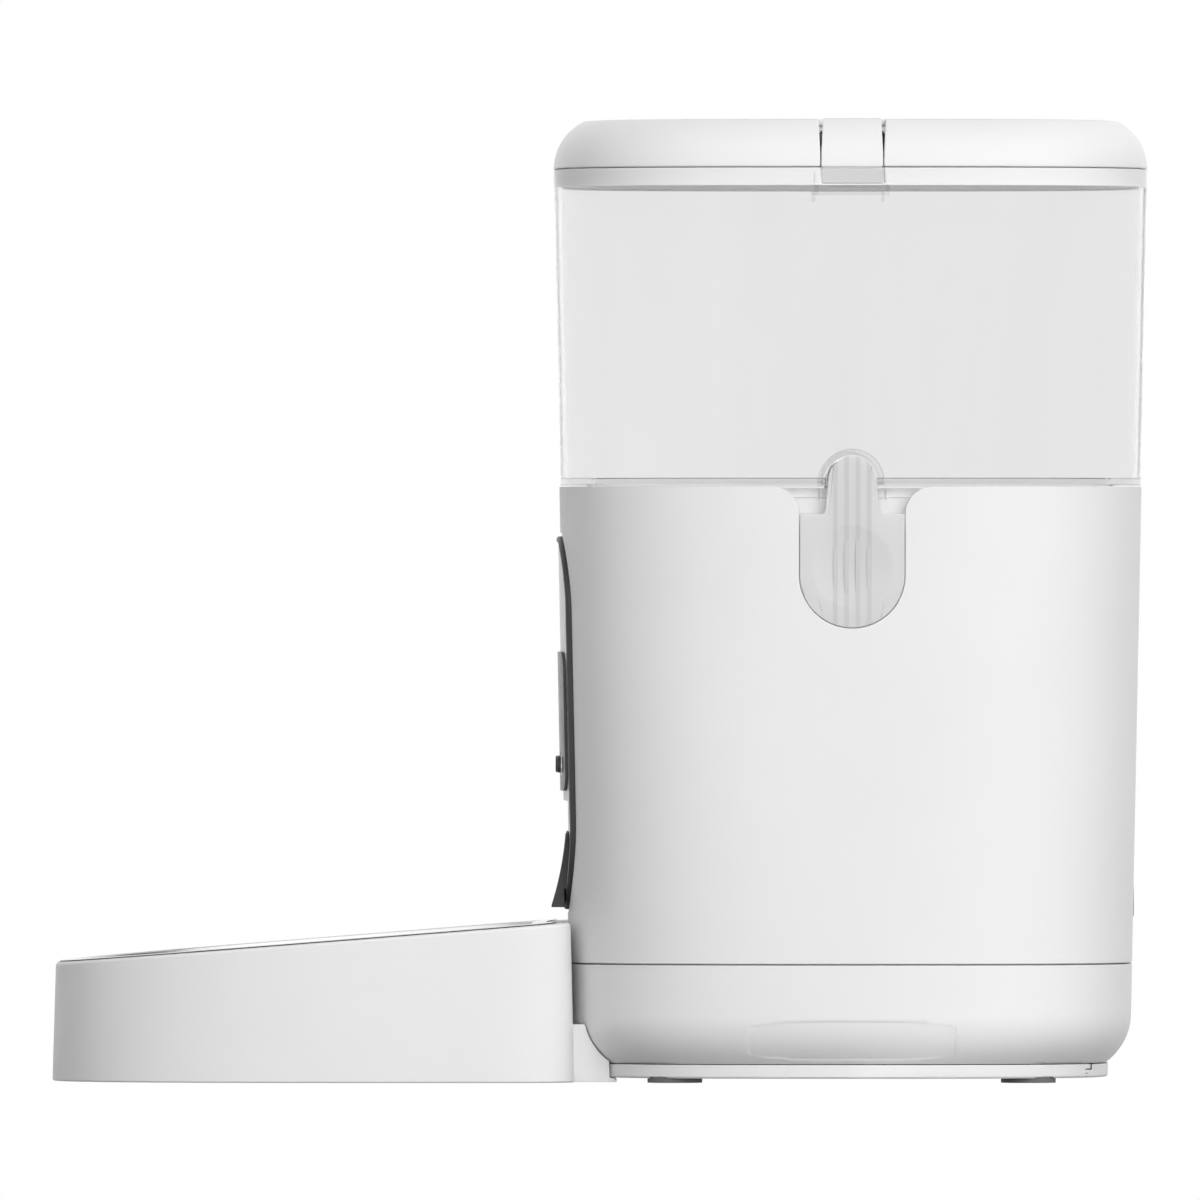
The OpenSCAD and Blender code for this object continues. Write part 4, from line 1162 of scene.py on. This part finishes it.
def bowl_plan(inset, forward):
    """The bowl's plan drawn in, and more at its back: a rounded front, full sides and a hollow back."""
    points = []
    for i in range(shape().ring_points):
        angle = 2 * math.pi * i / shape().ring_points
        back = math.sin(angle) > 0
        power = 2 / (6 if back else 2.7)
        x = (BOWL_HALF - inset) * bend(math.cos(angle), power)
        long = (BOWL_MID - BOWL_CORNER - forward if back else BOWL_FRONT - BOWL_MID) - inset
        hollow = BOWL_HOLLOW * math.sin(angle) ** 4 * (1 - abs(x / BOWL_HALF) ** 3) if back else 0
        points.append((x, long * bend(math.sin(angle), power) - BOWL_MID - hollow))
    return points


def rim_z(y):
    return RIM_FRONT_Z + (RIM_BACK_Z - RIM_FRONT_Z) * (y + BOWL_FRONT) / (BOWL_FRONT - BOWL_BACK)


def level(inset, z, forward=0.0):
    return [(x, AXIS_Y + y, z) for x, y in bowl_plan(inset, forward)]


def sloped(inset, rise, forward=0.0):
    return [(x, AXIS_Y + y, rim_z(y) + rise) for x, y in bowl_plan(inset, forward)]


def seat_level(inset, z):
    """A level ring of the steel bowl, which keeps further from the casing than the holder does."""
    return level(inset, z, 3.4 * MM)


def seat_sloped(inset, rise):
    return sloped(inset, rise, 3.4 * MM)


def stacked(name, rings):
    """A solid whose first ring is an outline, and each later one is extruded and moved to its place."""
    piece = outline(name, rings[0])
    edit(piece, "FACE")
    bpy.ops.mesh.select_all(action="SELECT")
    for before, after in zip(rings, rings[1:]):
        bpy.ops.mesh.extrude_region_move(TRANSFORM_OT_translate={"value": (0, 0, 0)})
        tree = KDTree(len(before))
        for index, spot in enumerate(before):
            tree.insert(spot, index)
        tree.balance()
        mesh = bmesh.from_edit_mesh(piece.data)
        for point in mesh.verts:
            if point.select:
                point.co = after[tree.find(point.co)[1]]
        bmesh.update_edit_mesh(piece.data)
    return done(piece)


class FEEDER_OT_bowl(FeederPart):
    """Adds the bowl's holder and the steel bowl in it"""
    bl_idname = "feeder.bowl"
    bl_label = "Bowl"

    def build(self):
        flare = 1.1 * MM
        holder = stacked("bowl_holder_smooth", [
            level(0.5 * MM, 0), level(0.12 * MM, 0.16 * MM), level(0, 0.5 * MM), sloped(flare, -1.3 * MM),
            sloped(flare + 0.15 * MM, -0.7 * MM), sloped(flare + 0.55 * MM, -0.2 * MM),
            sloped(flare + 1.2 * MM, 0),
            seat_sloped(5.1 * MM, 0), seat_sloped(5.4 * MM, -0.2 * MM), seat_sloped(5.8 * MM, -2.6 * MM),
            seat_sloped(8.4 * MM, -2.6 * MM), seat_level(9.6 * MM, 20 * MM), seat_level(17 * MM, 4 * MM)])
        tail_half = 55 * MM
        under = PLINTH_Z - 0.1 * MM
        side_view = [(-0.096, 0.01 * MM), (-0.077, 0.01 * MM), (-0.0776, under - 0.1 * MM), (-0.0794, under),
                     (-0.0796, 0.009), (-0.086, 0.019), (-0.096, 0.019)]
        tail = sideways("bowl_tail", side_view, -tail_half, tail_half)
        below = [(84.8 * MM, under), (85.3 * MM, under + 0.6 * MM), (85.3 * MM, 6 * MM)]
        cut(tail, soft_shell("tail_way", below + base_profile(-0.5 * MM, BASE_LOW.z + 0.2 * MM)))
        add(holder, tail)
        soften(holder, 0.3 * MM)
        place(holder, "bowl", MATERIALS["white_shell"], "white_shell", "bowl_holder")

        insert = stacked("steel_bowl_smooth", [
            seat_level(19.9 * MM, 4.4 * MM), seat_level(18.3 * MM, 4.9 * MM),
            seat_level(11.3 * MM, 20.6 * MM), seat_sloped(9 * MM, -2.4 * MM),
            seat_sloped(6.2 * MM, -2 * MM), seat_sloped(5.8 * MM, 0.25 * MM),
            seat_sloped(2.5 * MM, 0.2 * MM), seat_sloped(2.2 * MM, 0.35 * MM),
            seat_sloped(2.5 * MM, 0.5 * MM), seat_sloped(2.9 * MM, 0.55 * MM),
            seat_sloped(6.3 * MM, 0.55 * MM), seat_sloped(6.9 * MM, 0.45 * MM),
            seat_sloped(7.2 * MM, 0.1 * MM), seat_sloped(7.4 * MM, -1.4 * MM),
            seat_sloped(9.6 * MM, -1.8 * MM), seat_level(12 * MM, 20.8 * MM),
            seat_level(17 * MM, 8.4 * MM), seat_level(19 * MM, 6 * MM), seat_level(22 * MM, 5.2 * MM)])
        soften(insert, 0)
        place(insert, "bowl_insert", MATERIALS["bowl_steel"], "bowl_steel", "steel_bowl")


# ---- What stays as the frame has it ----
class FEEDER_OT_inner_parts(FeederPart):
    """Gives the drive, the boards, the cells and the other inner parts their finishes"""
    bl_idname = "feeder.inner_parts"
    bl_label = "Inner parts"

    def build(self):
        for part in frame["record"]["subparts"]:
            node = frame["nodes"][part["node"]]
            if node.hide_render:
                continue
            node.data.materials.clear()
            node.data.materials.append(MATERIALS[part["material_slot"]])


# ---- Stage ----
class FEEDER_OT_stage(FeederPart):
    """Adds the floor, the light and the camera"""
    bl_idname = "feeder.stage"
    bl_label = "Stage"

    def build(self):
        clear_selection()
        bpy.ops.mesh.primitive_plane_add(size=40, location=(0, 0, -0.02 * MM))
        floor = name_piece("floor")
        floor.data.materials.append(self.seen_white("floor_white", 0.13))

        world = bpy.data.worlds.new("studio")
        bpy.context.scene.world = world
        world.use_nodes = True
        nodes, links = world.node_tree.nodes, world.node_tree.links
        background = nodes["Background"]
        background.inputs["Color"].default_value = (1, 1, 1, 1)
        direction = nodes.new("ShaderNodeTexCoord").outputs["Generated"]

        def maths(operation, *values):
            node = nodes.new("ShaderNodeMath")
            node.operation = operation
            for socket, value in zip(node.inputs, values):
                if isinstance(value, bpy.types.NodeSocket):
                    links.new(value, socket)
                else:
                    socket.default_value = value
            return node.outputs[0]

        def glow(towards, strength, focus):
            """Light from one side, which fades to nothing at right angles to it."""
            dot = nodes.new("ShaderNodeVectorMath")
            dot.operation = "DOT_PRODUCT"
            dot.inputs[1].default_value = Vector(towards).normalized()
            links.new(direction, dot.inputs[0])
            facing = maths("MAXIMUM", dot.outputs["Value"], 0)
            return maths("MULTIPLY", maths("POWER", facing, focus), strength)

        key, behind = glow((1, 0.33, 0.3), 3.6, 4), glow((-1, 0, 0), 1.55, 1)
        light = maths("ADD", key, behind)
        path = nodes.new("ShaderNodeLightPath").outputs
        seen = maths("MAXIMUM", maths("MAXIMUM", path["Is Camera Ray"], path["Is Transmission Ray"]),
                     maths("MULTIPLY", path["Is Glossy Ray"], 0.7))
        strength = nodes.new("ShaderNodeMix")
        links.new(seen, strength.inputs[0])
        links.new(light, strength.inputs[2])
        strength.inputs[3].default_value = 1.0
        links.new(strength.outputs[0], background.inputs["Strength"])

        distance, width = 12, 0.396
        bpy.ops.object.camera_add(location=(distance, 0, 0.1584), rotation=(math.pi / 2, 0, math.pi / 2))
        camera = bpy.context.object
        camera.data.sensor_width = 36
        camera.data.lens = 36 * distance / width
        camera.data.clip_end = 100
        bpy.context.scene.camera = camera
        bpy.context.scene.view_settings.view_transform = "Standard"

    def seen_white(self, name, bounce):
        """White to the camera, and a matt white to everything else."""
        material = bpy.data.materials.new(name)
        material.use_nodes = True
        nodes, links = material.node_tree.nodes, material.node_tree.links
        shader = nodes["Principled BSDF"]
        shader.inputs["Base Color"].default_value = (bounce, bounce, bounce, 1)
        shader.inputs["Roughness"].default_value = 1
        glow = nodes.new("ShaderNodeEmission")
        path = nodes.new("ShaderNodeLightPath")
        unlit = nodes.new("ShaderNodeMath")
        unlit.operation = "SUBTRACT"
        unlit.inputs[0].default_value = 1
        links.new(path.outputs["Is Diffuse Ray"], unlit.inputs[1])
        mix = nodes.new("ShaderNodeMixShader")
        links.new(unlit.outputs[0], mix.inputs[0])
        links.new(shader.outputs[0], mix.inputs[1])
        links.new(glow.outputs[0], mix.inputs[2])
        links.new(mix.outputs[0], nodes["Material Output"].inputs["Surface"])
        return material


PARTS = (
    FEEDER_OT_casing, FEEDER_OT_base, FEEDER_OT_plinth, FEEDER_OT_front, FEEDER_OT_buttons, FEEDER_OT_tank,
    FEEDER_OT_latches, FEEDER_OT_well, FEEDER_OT_lid, FEEDER_OT_clips, FEEDER_OT_bowl, FEEDER_OT_inner_parts,
    FEEDER_OT_stage,
)


class FEEDER_PT_panel(bpy.types.Panel):
    """Lists the feeder's parts and what can be changed"""
    bl_label = "Pet Feeder"
    bl_idname = "FEEDER_PT_panel"
    bl_space_type = "VIEW_3D"
    bl_region_type = "UI"
    bl_category = "Feeder"

    def draw(self, context):
        column = self.layout.column(align=True)
        for group in (context.scene.feeder_shape, context.scene.feeder_finish):
            for name in group.__annotations__:
                column.prop(group, name)
        for part in PARTS:
            column.operator(part.bl_idname)


CLASSES = (FeederShape, FeederFinish, *PARTS, FEEDER_PT_panel)


def register():
    for cls in CLASSES:
        bpy.utils.register_class(cls)
    bpy.types.Scene.feeder_shape = bpy.props.PointerProperty(type=FeederShape)
    bpy.types.Scene.feeder_finish = bpy.props.PointerProperty(type=FeederFinish)


def unregister():
    del bpy.types.Scene.feeder_finish
    del bpy.types.Scene.feeder_shape
    for cls in reversed(CLASSES):
        bpy.utils.unregister_class(cls)


def main():
    register()
    make_materials()
    for part in PARTS:
        group, name = part.bl_idname.split(".")
        getattr(getattr(bpy.ops, group), name)()


if __name__ == "__main__":
    main()
